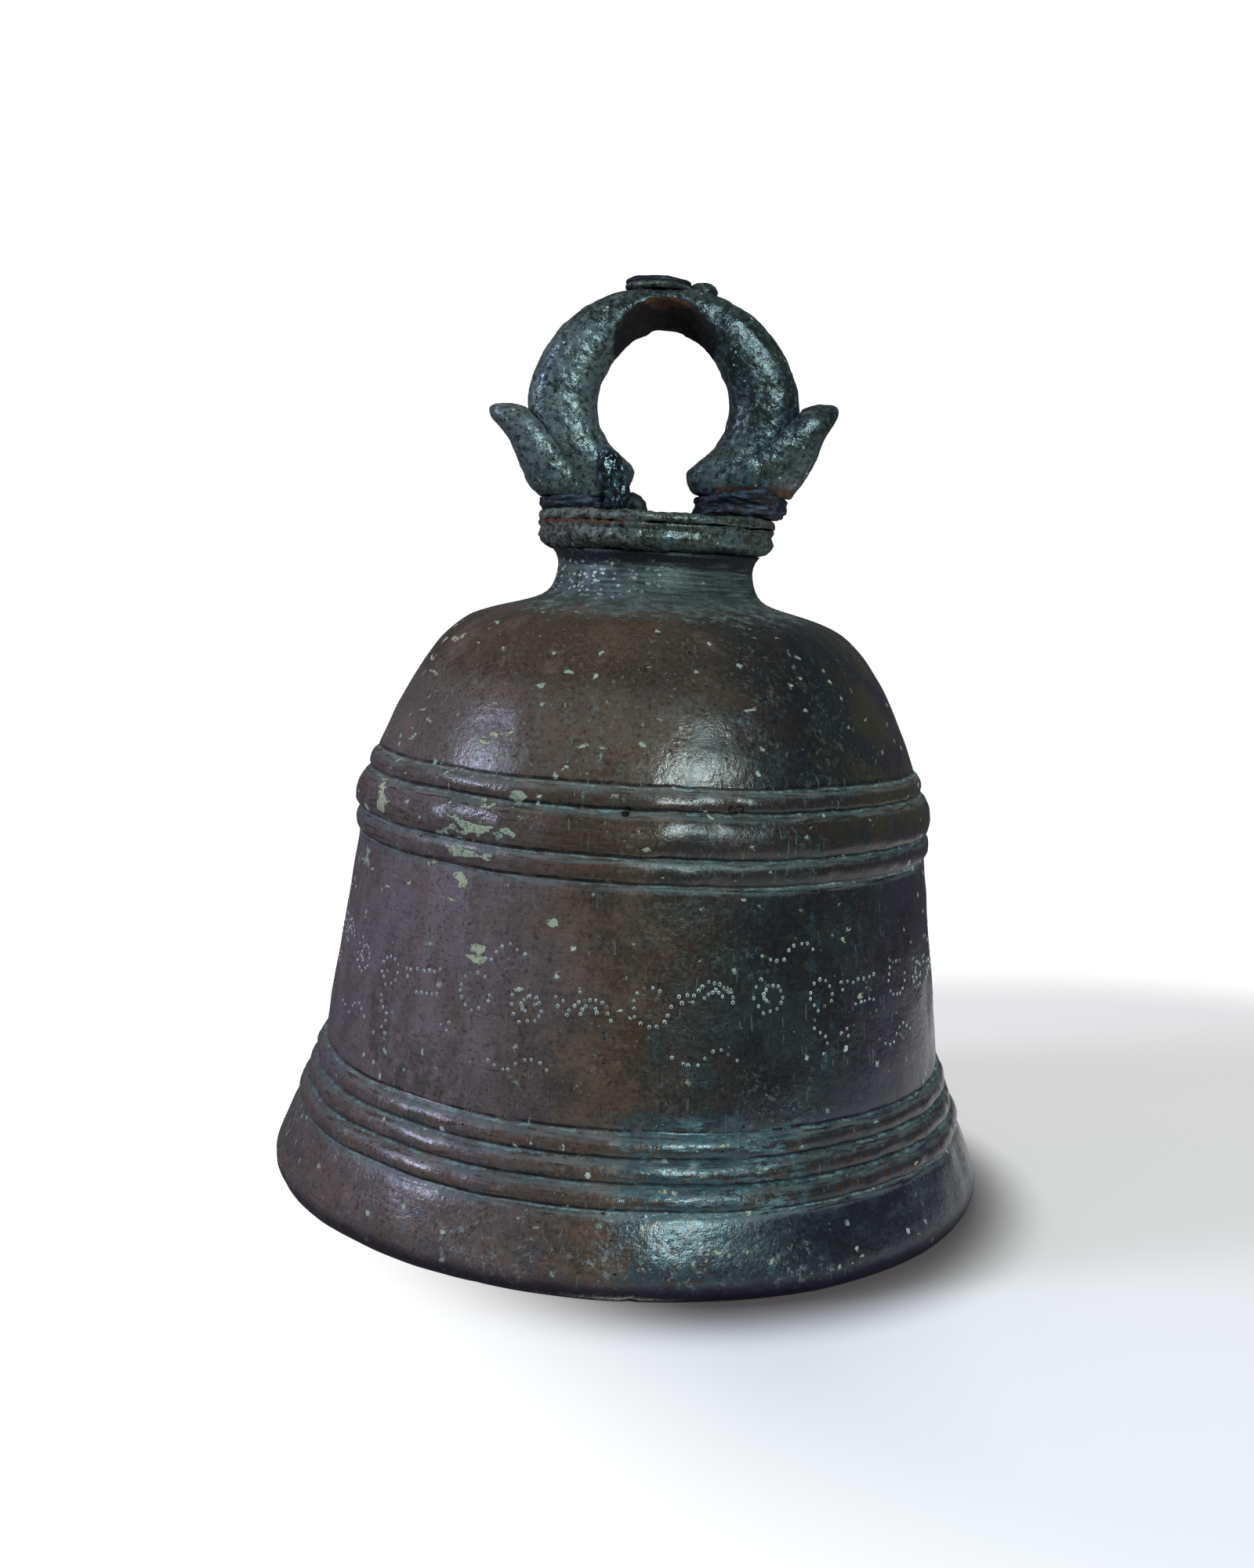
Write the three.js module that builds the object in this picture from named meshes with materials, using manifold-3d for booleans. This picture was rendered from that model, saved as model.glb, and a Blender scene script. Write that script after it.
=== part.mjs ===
// A small cast bronze bell that stands on its lip or hangs from the loop on its crown.
// Units are millimetres, +Z is up, and the origin is the centre of the lip's resting plane.
// The loop lies in the XZ plane, so -Y is the front.

import * as THREE from "three";
import { mergeVertices } from "three/addons/utils/BufferGeometryUtils.js";
import Module from "manifold-3d";

const wasm = await Module();
wasm.setup();

// ---- driving dimensions ----

const GAP = 0.3; // between separate pieces that touch
const ROUND_STEPS = 48; // facets round the bell
const SMALL_STEPS = 20; // facets round a small turned piece

const LIP_RADIUS = 115.8; // widest point of the lip
const LIP_FOOT_IN = 103.5; // inner edge of the flat ring that the bell rests on
const LIP_FOOT_OUT = 111.5; // outer edge of that ring

const LOWER_BEADS = { low: 24, high: 43.5, count: 3, rLow: 108.3, rHigh: 101.2, bulge: 1.5 };
const WAIST = { low: 47, rLow: 100.8, high: 110, rHigh: 92.1 };
const SHOULDER_BEADS = [
  { low: 111.2, high: 118.4, rLow: 92, rHigh: 91.8, bulge: 1.2 },
  { low: 118.8, high: 131.2, rLow: 91.7, rHigh: 88.8, bulge: 2.6 },
  { low: 131.6, high: 137.8, rLow: 88.6, rHigh: 87, bulge: 1.1 },
];

const NECK_RADIUS = 31.4; // where it is narrowest
const NECK_TOP = 203.2; // the step that the collar sits on
const NECK_TOP_RADIUS = 33.8;
const SPIGOT_RADIUS = 30;
const HEAD_TOP = 211.7; // top of the solid head that closes the neck
const NECK_BORE = 21;

const COLLAR = { radius: 38.3, low: NECK_TOP + GAP, high: HEAD_TOP };
const PLATE = { radius: 37.6, low: HEAD_TOP + GAP, high: 215 };

const FOOT_Z = 222.2; // underside of the loop's right foot
const LEFT_FOOT_Z = 219.4; // the left foot reaches lower
const SQUARENESS = 0.8; // 1 is an ellipse, less is squarer
// Right half of the loop, from the foot up to the top: [x, z] of its outer and inner edges.
const LOOP_STATIONS = [
  { outer: [29, FOOT_Z], inner: [11, FOOT_Z], depth: 17 },
  { outer: [32.5, 225.6], inner: [8.7, 225.8], depth: 20 },
  { outer: [36.3, 231], inner: [8.2, 229.4], depth: 22.5 },
  { outer: [38.8, 234.8], inner: [12.2, 232.6], depth: 23 },
  { outer: [41.4, 239.6], inner: [16.8, 236.8], depth: 23.4 },
  { outer: [43.2, 245], inner: [20.2, 242.8], depth: 23.6 },
  { outer: [43.7, 251], inner: [21.3, 249.6], depth: 23.6 },
  { outer: [42.4, 257.6], inner: [20.4, 256], depth: 23.4 },
  { outer: [39.2, 265.2], inner: [17.4, 262], depth: 23 },
  { outer: [34, 272.6], inner: [13.8, 266.8], depth: 22.6 },
  { outer: [27, 279], inner: [9.6, 270.4], depth: 22.2 },
  { outer: [18, 283.9], inner: [5.4, 272.2], depth: 22 },
  { outer: [9, 286.2], inner: [2.4, 272.8], depth: 22 },
  { outer: [0, 286.8], inner: [0, 273], depth: 22 },
];
// Left half of the loop below the station that both halves share.
const LEFT_FOOT = [
  { outer: [-31, FOOT_Z + 0.2], inner: [-10.6, FOOT_Z + 0.2], depth: 19 },
  { outer: [-29.5, LEFT_FOOT_Z], inner: [-13, LEFT_FOOT_Z], depth: 18 },
];
// Wear under the top of the loop: a small flat, and a scoop that rises towards the front.
const SEAT = { x: 0, z: 274.4, half: 5 };
const SCOOP = { x: -1.2, y: -10, z: 263.6, radius: 15, tilt: 33 };

// Each leaf clasps the outside of one foot: the same kind of row, from the foot to the tip.
const LEFT_LEAF = [
  { outer: [38.6, LEFT_FOOT_Z], inner: [20, LEFT_FOOT_Z], depth: 19 },
  { outer: [41.6, 222], inner: [21, 222], depth: 23.4 },
  { outer: [43.6, 225.6], inner: [22.6, 225.6], depth: 25.6 },
  { outer: [46.2, 230.6], inner: [26.6, 231], depth: 27 },
  { outer: [48.9, 236.6], inner: [31.6, 237.4], depth: 27 },
  { outer: [52.2, 240.6], inner: [36.4, 243], depth: 25 },
  { outer: [55.2, 243.5], inner: [42, 246.8], depth: 21 },
  { outer: [55.9, 246.2], inner: [47, 247.9], depth: 15 },
  { outer: [54.8, 247.5], inner: [50.6, 248], depth: 8 },
];
const RIGHT_LEAF = [
  { outer: [42.6, FOOT_Z], inner: [10.4, FOOT_Z], depth: 20 },
  { outer: [45, 225.6], inner: [9.6, 226.6], depth: 25 },
  { outer: [48, 230], inner: [14, 231.6], depth: 27 },
  { outer: [50.4, 235.8], inner: [24, 237.4], depth: 27.4 },
  { outer: [51.8, 241.6], inner: [33, 243], depth: 26.6 },
  { outer: [54, 245.4], inner: [40.6, 248.6], depth: 24 },
  { outer: [55.8, 248.6], inner: [45.6, 251.8], depth: 18 },
  { outer: [56, 250.8], inner: [49.6, 252.6], depth: 12 },
  { outer: [54.9, 252.1], inner: [52.2, 252.8], depth: 7 },
];

// The iron shoes between the feet and the crown plate: the same kind of row, from the plate up.
const SHOE_LOW = PLATE.high + GAP;
const LEFT_SHOE = [
  { outer: [-37.4, SHOE_LOW], inner: [-13.8, SHOE_LOW], depth: 20 },
  { outer: [-38.6, 217.2], inner: [-13.4, 217.2], depth: 21.4 },
  { outer: [-38.2, LEFT_FOOT_Z - GAP], inner: [-14, LEFT_FOOT_Z - GAP], depth: 20 },
];
const RIGHT_SHOE = [
  { outer: [38.6, SHOE_LOW], inner: [10.6, SHOE_LOW], depth: 20 },
  { outer: [40.6, 218], inner: [11.2, 218], depth: 23.4 },
  { outer: [41.8, FOOT_Z - GAP], inner: [13.4, FOOT_Z - GAP], depth: 22 },
];
const PIN = { x: 25, radius: 2.6, low: 206, high: 230 };

const SOLDER_RUN = { x: -14.6, y: -10.6, z: 225.6, half: [4.4, 4.2, 10], lean: -0.3 };

const HANGER = { x: -6.3, radius: 3.1, ring: 6.3, ringZ: 194, topZ: 219, endX: -10.2 };
const LINK = { radius: 2.4, half: 8.4, straight: 7 };
const EYE = { ring: 6.4, radius: 2.4 };

const BALL = { radius: 17, z: 33, bore: 4.6 };
const ROD = { neck: 3.6, low: 4.3, shoulder: 6.6 };
const ROVE = { radius: 8, thick: 2.4 };
const ROD_TIP_Z = 7;

const BUTTON = { x: -3.6, radius: 10.3, low: 286.4, high: 289.2, shank: 3, shankLow: 279 };
const RIVET = { x: 10.6, radius: 3, low: 280, high: 288.8 };

// The hanger's ring carries the link, and the link's lowest bar carries the clapper's eye.
const HANGER_BAR_Z = HANGER.ringZ - HANGER.ring;
const LINK_TOP_Z = HANGER_BAR_Z + HANGER.radius + GAP + LINK.radius;
const LINK_BAR_Z = LINK_TOP_Z - 2 * LINK.half - LINK.straight;
const EYE_Z = LINK_BAR_Z + LINK.radius + GAP + EYE.radius - EYE.ring;

// ---- materials ----

const metal = (color, roughness, metalness) =>
  new THREE.MeshStandardMaterial({ color, roughness, metalness });

const BRONZE = metal(0x5a4a42, 0.42, 0.85); // brown, hand-polished patina
const GREEN_BRONZE = metal(0x4c5c5a, 0.6, 0.7); // crown, grey-green and rougher
const IRON = metal(0x33302f, 0.85, 0.4); // rusted wrought iron
const SOLDER = metal(0x1c2226, 0.25, 0.6); // dark, glossy repair metal

// ---- solids ----

/** A closed three.js geometry as a manifold-3d solid. */
function solid(geometry) {
  const bare = geometry.clone();
  bare.deleteAttribute("normal");
  bare.deleteAttribute("uv");
  const merged = mergeVertices(bare, 1e-4);
  return new wasm.Manifold(
    new wasm.Mesh({
      numProp: 3,
      vertProperties: merged.attributes.position.array,
      triVerts: new Uint32Array(merged.index.array),
    }),
  );
}

/** A manifold-3d solid as a three.js geometry. */
function geometryOf(made) {
  const mesh = made.getMesh();
  const geometry = new THREE.BufferGeometry();
  geometry.setAttribute("position", new THREE.BufferAttribute(mesh.vertProperties, 3));
  geometry.setIndex(new THREE.BufferAttribute(mesh.triVerts, 1));
  geometry.computeVertexNormals();
  return geometry;
}

/** The largest of a solid's separate bodies. */
function largest(made) {
  return made.decompose().reduce((a, b) => (a.volume() > b.volume() ? a : b));
}

/** Turns a profile of [radius, z] points about the Z axis. */
function turned(points, steps) {
  const profile = points.map(([r, z]) => new THREE.Vector2(r, z));
  return new THREE.LatheGeometry(profile, steps).rotateX(Math.PI / 2);
}

/** A ring or tube: the profile closes on itself. */
const turnedRing = (points, steps) => turned([...points, points[0]], steps);

/** A vertical cylinder from z low to z high. */
function post(x, y, low, high, radius, steps = SMALL_STEPS) {
  return new THREE.CylinderGeometry(radius, radius, high - low, steps)
    .rotateX(Math.PI / 2)
    .translate(x, y, (low + high) / 2);
}

/** A round bar along a curve. */
function bar(curve, radius, steps, sides = 12) {
  const section = new THREE.Shape().absarc(0, 0, radius, 0, 2 * Math.PI);
  return new THREE.ExtrudeGeometry(section, {
    extrudePath: curve,
    steps,
    curveSegments: sides,
  });
}

// ---- the bell's turned profile ----

/** A half-round bead between two heights, as [radius, z] points. */
function bead({ low, high, rLow, rHigh, bulge }, steps = 4) {
  return Array.from({ length: steps + 1 }, (_, i) => {
    const t = i / steps;
    const round = Math.sqrt(Math.max(0, 1 - (2 * t - 1) ** 2));
    return [THREE.MathUtils.lerp(rLow, rHigh, t) + bulge * round, THREE.MathUtils.lerp(low, high, t)];
  });
}

/** The three equal beads over the lip, which step in as they climb. */
function lowerBeads({ low, high, count, rLow, rHigh, bulge }) {
  const at = (a, b, t) => THREE.MathUtils.lerp(a, b, t);
  return Array.from({ length: count }, (_, i) =>
    bead({
      low: at(low, high, i / count) + 0.15,
      high: at(low, high, (i + 1) / count) - 0.15,
      rLow: at(rLow, rHigh, i / count),
      rHigh: at(rLow, rHigh, (i + 1) / count),
      bulge,
    }),
  ).flat();
}

/** Points of a smooth curve through a few [radius, z] points. */
function curved(points, steps) {
  const curve = new THREE.SplineCurve(points.map(([r, z]) => new THREE.Vector2(r, z)));
  return curve.getPoints(steps).map((p) => [p.x, p.y]);
}

function shellOutside() {
  const lip = curved(
    [[LIP_FOOT_OUT, 0], [115.2, 2.6], [LIP_RADIUS, 6], [114, 12], [111, 19], [108.3, 23.6]],
    6,
  );
  const dome = curved(
    [[86.6, 138.2], [82, 150], [77.2, 160], [70.8, 170], [60.5, 180.4], [49, 184.3], [38.4, 187.1]],
    9,
  );
  const neck = curved(
    [[38.4, 187.1], [34.4, 189.6], [32.2, 193.6], [NECK_RADIUS, 198.2], [NECK_TOP_RADIUS, NECK_TOP]],
    6,
  );
  return [
    ...lip,
    ...lowerBeads(LOWER_BEADS),
    [WAIST.rLow, WAIST.low],
    [WAIST.rHigh, WAIST.high],
    ...SHOULDER_BEADS.flatMap((b) => bead(b)),
    ...dome,
    ...neck.slice(1),
    [SPIGOT_RADIUS, NECK_TOP],
    [SPIGOT_RADIUS, HEAD_TOP],
    [0, HEAD_TOP],
  ];
}

function shellInside() {
  return curved(
    [[84.5, 120], [80.2, 138], [75.6, 150], [69.5, 160], [60, 170], [44, 178.4], [26, 182.6]],
    7,
  );
}

function bellShell() {
  const inside = [
    [LIP_FOOT_IN, 0],
    [100.6, 12],
    [99.2, 24],
    [94, 45],
    [86.2, 108],
    ...shellInside(),
    [NECK_BORE, 186],
    [NECK_BORE, NECK_TOP],
    [0, NECK_TOP],
  ];
  let body = solid(turned([...inside.reverse(), ...shellOutside()], ROUND_STEPS));
  body = body.subtract(solid(post(HANGER.x, 0, NECK_TOP - 5, HEAD_TOP + 5, HANGER.radius + GAP)));
  for (const side of [-1, 1]) {
    body = body.subtract(solid(post(side * PIN.x, 0, PIN.low - GAP, HEAD_TOP + 5, PIN.radius + GAP)));
  }
  return geometryOf(body);
}

// ---- crown ----

function neckCollar() {
  const { radius, low, high } = COLLAR;
  return turnedRing(
    [
      [SPIGOT_RADIUS + GAP, low],
      [radius - 2.4, low],
      [radius - 0.6, low + 1.6],
      [radius, low + 4.5],
      [radius - 0.4, high - 0.6],
      [radius - 1.6, high],
      [SPIGOT_RADIUS + GAP, high],
    ],
    ROUND_STEPS,
  );
}

function crownPlate() {
  const { radius, low, high } = PLATE;
  let plate = solid(
    turned([[0, low], [radius, low], [radius + 0.5, low + 1.2], [radius, high], [0, high]], ROUND_STEPS),
  );
  plate = plate.subtract(solid(post(HANGER.x, 0, low - 1, high + 1, HANGER.radius + GAP)));
  for (const side of [-1, 1]) {
    plate = plate.subtract(solid(post(side * PIN.x, 0, low - 1, high + 1, PIN.radius + GAP)));
  }
  return geometryOf(plate);
}

/**
 * The loop, larger all over by grow: a row of rounded sections from foot to foot. Each section
 * is as wide as the distance between its outer and inner points, and as deep as depth along Y.
 */
function loopBlank(grow = 0) {
  const mirrored = ([x, z]) => [-x, z];
  const left = LOOP_STATIONS.slice(1, -1)
    .reverse()
    .map(({ outer, inner, depth }) => ({ outer: mirrored(outer), inner: mirrored(inner), depth }));
  return lofted([...LOOP_STATIONS, ...left, ...LEFT_FOOT], grow);
}

/** The same row of sections with its two ends moved outwards. */
function stretched(stations, by) {
  const centre = ({ outer, inner }) =>
    new THREE.Vector2((outer[0] + inner[0]) / 2, (outer[1] + inner[1]) / 2);
  const moved = (end, next) => {
    const step = centre(end).sub(centre(next)).setLength(by);
    const shift = ([x, z]) => [x + step.x, z + step.y];
    return { ...end, outer: shift(end.outer), inner: shift(end.inner) };
  };
  const [first, second] = stations;
  return [moved(first, second), ...stations.slice(1, -1), moved(stations.at(-1), stations.at(-2))];
}

/** A closed solid through rounded sections, each drawn between two points of the XZ plane. */
function lofted(stations, grow = 0, sides = 20) {
  const positions = [];
  const index = [];
  const push = (x, y, z) => positions.push(x, y, z);
  for (const { outer, inner, depth } of stretched(stations, grow)) {
    const centre = [(outer[0] + inner[0]) / 2, (outer[1] + inner[1]) / 2];
    const across = [outer[0] - centre[0], outer[1] - centre[1]];
    const wider = 1 + grow / Math.hypot(...across);
    for (let i = 0; i < sides; i += 1) {
      const angle = (2 * Math.PI * i) / sides;
      const c = Math.sign(Math.cos(angle)) * Math.abs(Math.cos(angle)) ** SQUARENESS;
      const s = Math.sign(Math.sin(angle)) * Math.abs(Math.sin(angle)) ** SQUARENESS;
      push(centre[0] + across[0] * c * wider, (depth / 2 + grow) * s, centre[1] + across[1] * c * wider);
    }
  }
  for (let k = 0; k + 1 < stations.length; k += 1) {
    for (let i = 0; i < sides; i += 1) {
      const a = k * sides + i;
      const b = k * sides + ((i + 1) % sides);
      index.push(a, b, a + sides, b, b + sides, a + sides);
    }
  }
  const last = (stations.length - 1) * sides;
  for (let i = 1; i + 1 < sides; i += 1) {
    index.push(0, i + 1, i, last, last + i, last + i + 1);
  }
  const geometry = new THREE.BufferGeometry();
  geometry.setAttribute("position", new THREE.Float32BufferAttribute(positions, 3));
  geometry.setIndex(index);
  return solid(geometry);
}

function crownLoop() {
  const seat = new THREE.BoxGeometry(2 * SEAT.half, 60, 20).translate(SEAT.x, 0, SEAT.z - 10);
  const scoop = new THREE.CylinderGeometry(SCOOP.radius, SCOOP.radius, 60, 48)
    .rotateX(THREE.MathUtils.degToRad(-SCOOP.tilt))
    .translate(SCOOP.x, SCOOP.y, SCOOP.z);
  let loop = loopBlank().subtract(solid(seat)).subtract(solid(scoop));
  for (const side of [-1, 1]) {
    loop = loop.subtract(solid(post(side * PIN.x, 0, LEFT_FOOT_Z - 5, PIN.high + GAP, PIN.radius + GAP)));
  }
  loop = loop
    .subtract(solid(post(BUTTON.x, 0, BUTTON.shankLow - GAP, BUTTON.high, BUTTON.shank + GAP)))
    .subtract(solid(post(BUTTON.x, 0, BUTTON.low - 1.6, BUTTON.high, BUTTON.radius + GAP)))
    .subtract(solid(post(RIVET.x, 0, RIVET.low - GAP, RIVET.high, RIVET.radius + GAP)));
  return geometryOf(loop);
}

/** A leaf: side is -1 for left and 1 for right. */
function leaf(side, stations) {
  const placed = stations.map(({ outer, inner, depth }) => ({
    outer: [side * outer[0], outer[1]],
    inner: [side * inner[0], inner[1]],
    depth,
  }));
  const blank = side > 0 ? lofted(placed) : lofted(placed.reverse());
  return largest(blank.subtract(loopBlank(GAP)));
}

/** A wrought iron shoe between one foot and the crown plate. side is -1 for left, 1 for right. */
function ironShoe(side, grow = 0) {
  const blank = side > 0 ? lofted(RIGHT_SHOE, grow) : lofted([...LEFT_SHOE].reverse(), grow);
  return blank.subtract(solid(post(side * PIN.x, 0, SHOE_LOW - 2, FOOT_Z + 2, PIN.radius + GAP)));
}

/** A run of repair metal down the front of the left foot. */
function footSolder() {
  const { x, y, z, half, lean } = SOLDER_RUN;
  const run = new THREE.SphereGeometry(1, 24, 16).scale(...half).rotateY(lean).translate(x, y, z);
  return solid(run)
    .subtract(loopBlank(GAP))
    .subtract(ironShoe(-1, GAP))
    .subtract(solid(new THREE.BoxGeometry(40, 40, 20).translate(x, 20 + y + 2.2, z)));
}

/** The clapper's hook: an open ring in the neck, and a shank bent over on top of the crown plate. */
function clapperHanger() {
  const { x, radius, ring, ringZ, topZ, endX } = HANGER;
  const bend = [[endX, topZ], [x - 2, topZ], [x - 0.2, topZ - 1.8]];
  const shank = [...bend, [x, 214], [x, NECK_TOP], [x, ringZ + 3]];
  const round = [180, 225, 270, 315, 360, 405, 450].map((degrees) => {
    const angle = THREE.MathUtils.degToRad(degrees);
    return [ring * Math.cos(angle), ringZ + ring * Math.sin(angle)];
  });
  const points = [...shank, ...round].map(([px, pz]) => new THREE.Vector3(px, 0, pz));
  return bar(new THREE.CatmullRomCurve3(points, false, "centripetal"), radius, 40, 10);
}

/** The disc on top of the loop, with its shank let into the loop. */
function crownButton() {
  const { x, radius, low, high, shank, shankLow } = BUTTON;
  const under = low - 1.3;
  return turned(
    [[0, shankLow], [shank, shankLow], [shank, under], [radius - 0.8, under], [radius, low + 0.6],
      [radius - 0.5, high - 0.9], [radius - 2, high - 0.2], [0, high]],
    SMALL_STEPS,
  ).translate(x, 0, 0);
}

function crownRivet() {
  const { x, radius, low, high } = RIVET;
  return turned(
    [[0, low], [radius, low], [radius, high - 1.6], [radius * 0.7, high - 0.4], [0, high]],
    SMALL_STEPS,
  ).translate(x, 0, 0);
}

// ---- clapper ----

/** The stadium-shaped link, which lies in the YZ plane at rest. */
function hangerLink() {
  const ring = new THREE.TorusGeometry(LINK.half, LINK.radius, 12, 28)
    .rotateY(Math.PI / 2)
    .rotateX(Math.PI / 2);
  const position = ring.attributes.position;
  for (let i = 0; i < position.count; i += 1) {
    const z = position.getZ(i);
    const stretch = Math.abs(z) < 1e-3 ? 0 : (Math.sign(z) * LINK.straight) / 2;
    position.setZ(i, z + stretch);
  }
  return ring.translate(0, 0, (LINK_TOP_Z + LINK_BAR_Z) / 2);
}

function clapperRod() {
  const ballTop = BALL.z + BALL.radius;
  const eyeFoot = EYE_Z - EYE.ring;
  const rod = turned(
    [
      [0, ROD_TIP_Z],
      [4.6, ROD_TIP_Z],
      [6.2, ROD_TIP_Z + 1.4],
      [6.2, ROD_TIP_Z + 3],
      [ROD.low, ROD_TIP_Z + 3.6],
      [ROD.low, ballTop + 0.4],
      [ROD.shoulder, ballTop + 1],
      [ROD.shoulder, ballTop + 3.6],
      [ROD.low, ballTop + 6],
      [ROD.neck, eyeFoot - 8],
      [ROD.neck, eyeFoot],
      [0, eyeFoot],
    ],
    SMALL_STEPS,
  );
  const eye = new THREE.TorusGeometry(EYE.ring, EYE.radius, 12, 24).rotateX(Math.PI / 2);
  return geometryOf(solid(rod).add(solid(eye.translate(0, 0, EYE_Z))));
}

function clapperBall() {
  const { radius, z, bore } = BALL;
  const end = Math.asin((bore + 1.4) / radius);
  const round = Array.from({ length: 13 }, (_, i) => {
    const angle = THREE.MathUtils.lerp(-Math.PI / 2 + end, Math.PI / 2 - end, i / 12);
    return [radius * Math.cos(angle), z + radius * Math.sin(angle)];
  });
  return turnedRing([[bore, round[0][1]], ...round, [bore, round.at(-1)[1]]], SMALL_STEPS + 8);
}

function ballRove() {
  const high = BALL.z - BALL.radius * Math.cos(Math.asin((BALL.bore + 1.4) / BALL.radius)) - GAP;
  const low = high - ROVE.thick;
  return turnedRing(
    [[BALL.bore, low], [ROVE.radius, low], [ROVE.radius, high], [BALL.bore, high]],
    SMALL_STEPS,
  );
}

// ---- assembly ----

const part = new THREE.Group();

function add(name, geometry, material) {
  const mesh = new THREE.Mesh(geometry, material);
  mesh.name = name;
  part.add(mesh);
}

add("bell_shell", bellShell(), BRONZE);
add("neck_collar", neckCollar(), GREEN_BRONZE);
add("crown_plate", crownPlate(), GREEN_BRONZE);
add("crown_loop", crownLoop(), GREEN_BRONZE);
add("left_leaf", geometryOf(leaf(-1, LEFT_LEAF)), GREEN_BRONZE);
add("right_leaf", geometryOf(leaf(1, RIGHT_LEAF)), GREEN_BRONZE);
add("left_iron_shoe", geometryOf(ironShoe(-1)), IRON);
add("right_iron_shoe", geometryOf(ironShoe(1)), IRON);
add("left_foot_pin", post(-PIN.x, 0, PIN.low, PIN.high, PIN.radius), IRON);
add("right_foot_pin", post(PIN.x, 0, PIN.low, PIN.high, PIN.radius), IRON);
add("foot_solder", geometryOf(footSolder()), SOLDER);
add("crown_button", crownButton(), IRON);
add("crown_rivet", crownRivet(), GREEN_BRONZE);
add("clapper_hanger", clapperHanger(), IRON);
add("hanger_link", hangerLink(), IRON);
add("clapper_rod", clapperRod(), IRON);
add("clapper_ball", clapperBall(), BRONZE);
add("ball_rove", ballRove(), IRON);

export default part;
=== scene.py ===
"""The looks of a hanging bronze bell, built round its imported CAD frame.

Lengths in the helper functions are millimetres, as in the CAD source; MM turns them into metres.
"""

from math import copysign, cos, pi, radians, sin, sqrt

import bmesh
import bpy
import numpy as np
from mathutils import Matrix, Vector
from mathutils.bvhtree import BVHTree


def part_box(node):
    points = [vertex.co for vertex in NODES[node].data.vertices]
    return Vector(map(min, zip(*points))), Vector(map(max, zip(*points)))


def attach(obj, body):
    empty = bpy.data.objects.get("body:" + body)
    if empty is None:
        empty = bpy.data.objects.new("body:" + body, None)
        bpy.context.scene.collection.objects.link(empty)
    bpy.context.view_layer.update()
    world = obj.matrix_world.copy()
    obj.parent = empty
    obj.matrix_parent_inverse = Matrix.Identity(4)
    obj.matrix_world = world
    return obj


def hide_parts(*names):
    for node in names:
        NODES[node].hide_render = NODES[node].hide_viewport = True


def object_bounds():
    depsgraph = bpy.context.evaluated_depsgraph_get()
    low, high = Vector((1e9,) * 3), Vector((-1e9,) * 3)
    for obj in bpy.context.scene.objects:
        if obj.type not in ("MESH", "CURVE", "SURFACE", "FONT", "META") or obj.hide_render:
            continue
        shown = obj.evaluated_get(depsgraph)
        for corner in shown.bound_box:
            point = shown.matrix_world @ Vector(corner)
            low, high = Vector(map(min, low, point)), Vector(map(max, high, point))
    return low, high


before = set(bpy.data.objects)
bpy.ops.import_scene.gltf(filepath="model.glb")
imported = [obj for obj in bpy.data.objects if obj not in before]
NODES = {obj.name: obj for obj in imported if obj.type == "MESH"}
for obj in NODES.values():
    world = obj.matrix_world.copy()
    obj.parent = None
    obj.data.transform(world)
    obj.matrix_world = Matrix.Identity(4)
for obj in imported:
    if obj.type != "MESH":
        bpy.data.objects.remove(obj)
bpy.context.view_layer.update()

MM = 0.001
TAU = 2 * pi
WELD = 0.001  # corners of the CAD mesh that are closer than this are one corner


# ---- shape helpers ----

def ripple(points, wavelength, seed, waves=14):
    """Smooth noise between about -1 and 1 at each point: a sum of waves in random directions."""
    rng = np.random.default_rng(seed)
    directions = rng.normal(size=(waves, 3))
    directions /= np.linalg.norm(directions, axis=1)[:, None]
    steepness = TAU / wavelength * rng.uniform(0.6, 1.5, waves)
    phase = rng.uniform(0, TAU, waves)
    total = np.cos(points @ (directions * steepness[:, None]).T + phase).sum(axis=1)
    return total / sqrt(waves * 2)


def smoothstep(low, high, x):
    t = np.clip((x - low) / (high - low), 0, 1)
    return t * t * (3 - 2 * t)


def near(z, low, high):
    """1 between two heights and 0 outside, with soft ends."""
    return smoothstep(low - 1, low + 1, z) * smoothstep(high + 1, high - 1, z)


def add_object(name, data):
    thing = bpy.data.objects.new(name, data)
    bpy.context.scene.collection.objects.link(thing)
    return thing


def set_field(piece, name, values):
    """Stores a number at each point of a piece, for its material to read."""
    attributes = piece.data.attributes
    attribute = attributes.get(name) or attributes.new(name, "FLOAT", "POINT")
    attribute.data.foreach_set("value", np.float32(values))


def add_mesh(name, points, faces):
    """A smooth mesh object from points in millimetres."""
    mesh = bpy.data.meshes.new(name)
    mesh.from_pydata((np.asarray(points) * MM).tolist(), [], faces)
    mesh.shade_smooth()
    return add_object(name, mesh)


def ring_faces(rows, columns, closed_rows=False):
    """Quads that join rows of points, each row a closed ring."""
    faces = []
    for i in range(rows if closed_rows else rows - 1):
        a = i * columns
        b = ((i + 1) % rows) * columns
        for j in range(columns):
            k = (j + 1) % columns
            faces.append((a + j, a + k, b + k, b + j))
    return faces


def tube_faces(rows, columns):
    """Quads that join rows of points into a tube, and a cap on each of its ends."""
    last = (rows - 1) * columns
    caps = [tuple(range(columns))[::-1], tuple(range(last, last + columns))]
    return ring_faces(rows, columns) + caps


def resampled(outline, step):
    """The same outline with a point about every step, whatever its corners."""
    outline = np.asarray(outline, float)
    lengths = np.hypot(*np.diff(outline, axis=0).T)
    along = np.concatenate([[0], np.cumsum(lengths)])
    count = max(2, int(round(along[-1] / step)) + 1)
    at = np.linspace(0, along[-1], count)
    return np.column_stack([np.interp(at, along, outline[:, k]) for k in (0, 1)])


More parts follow.
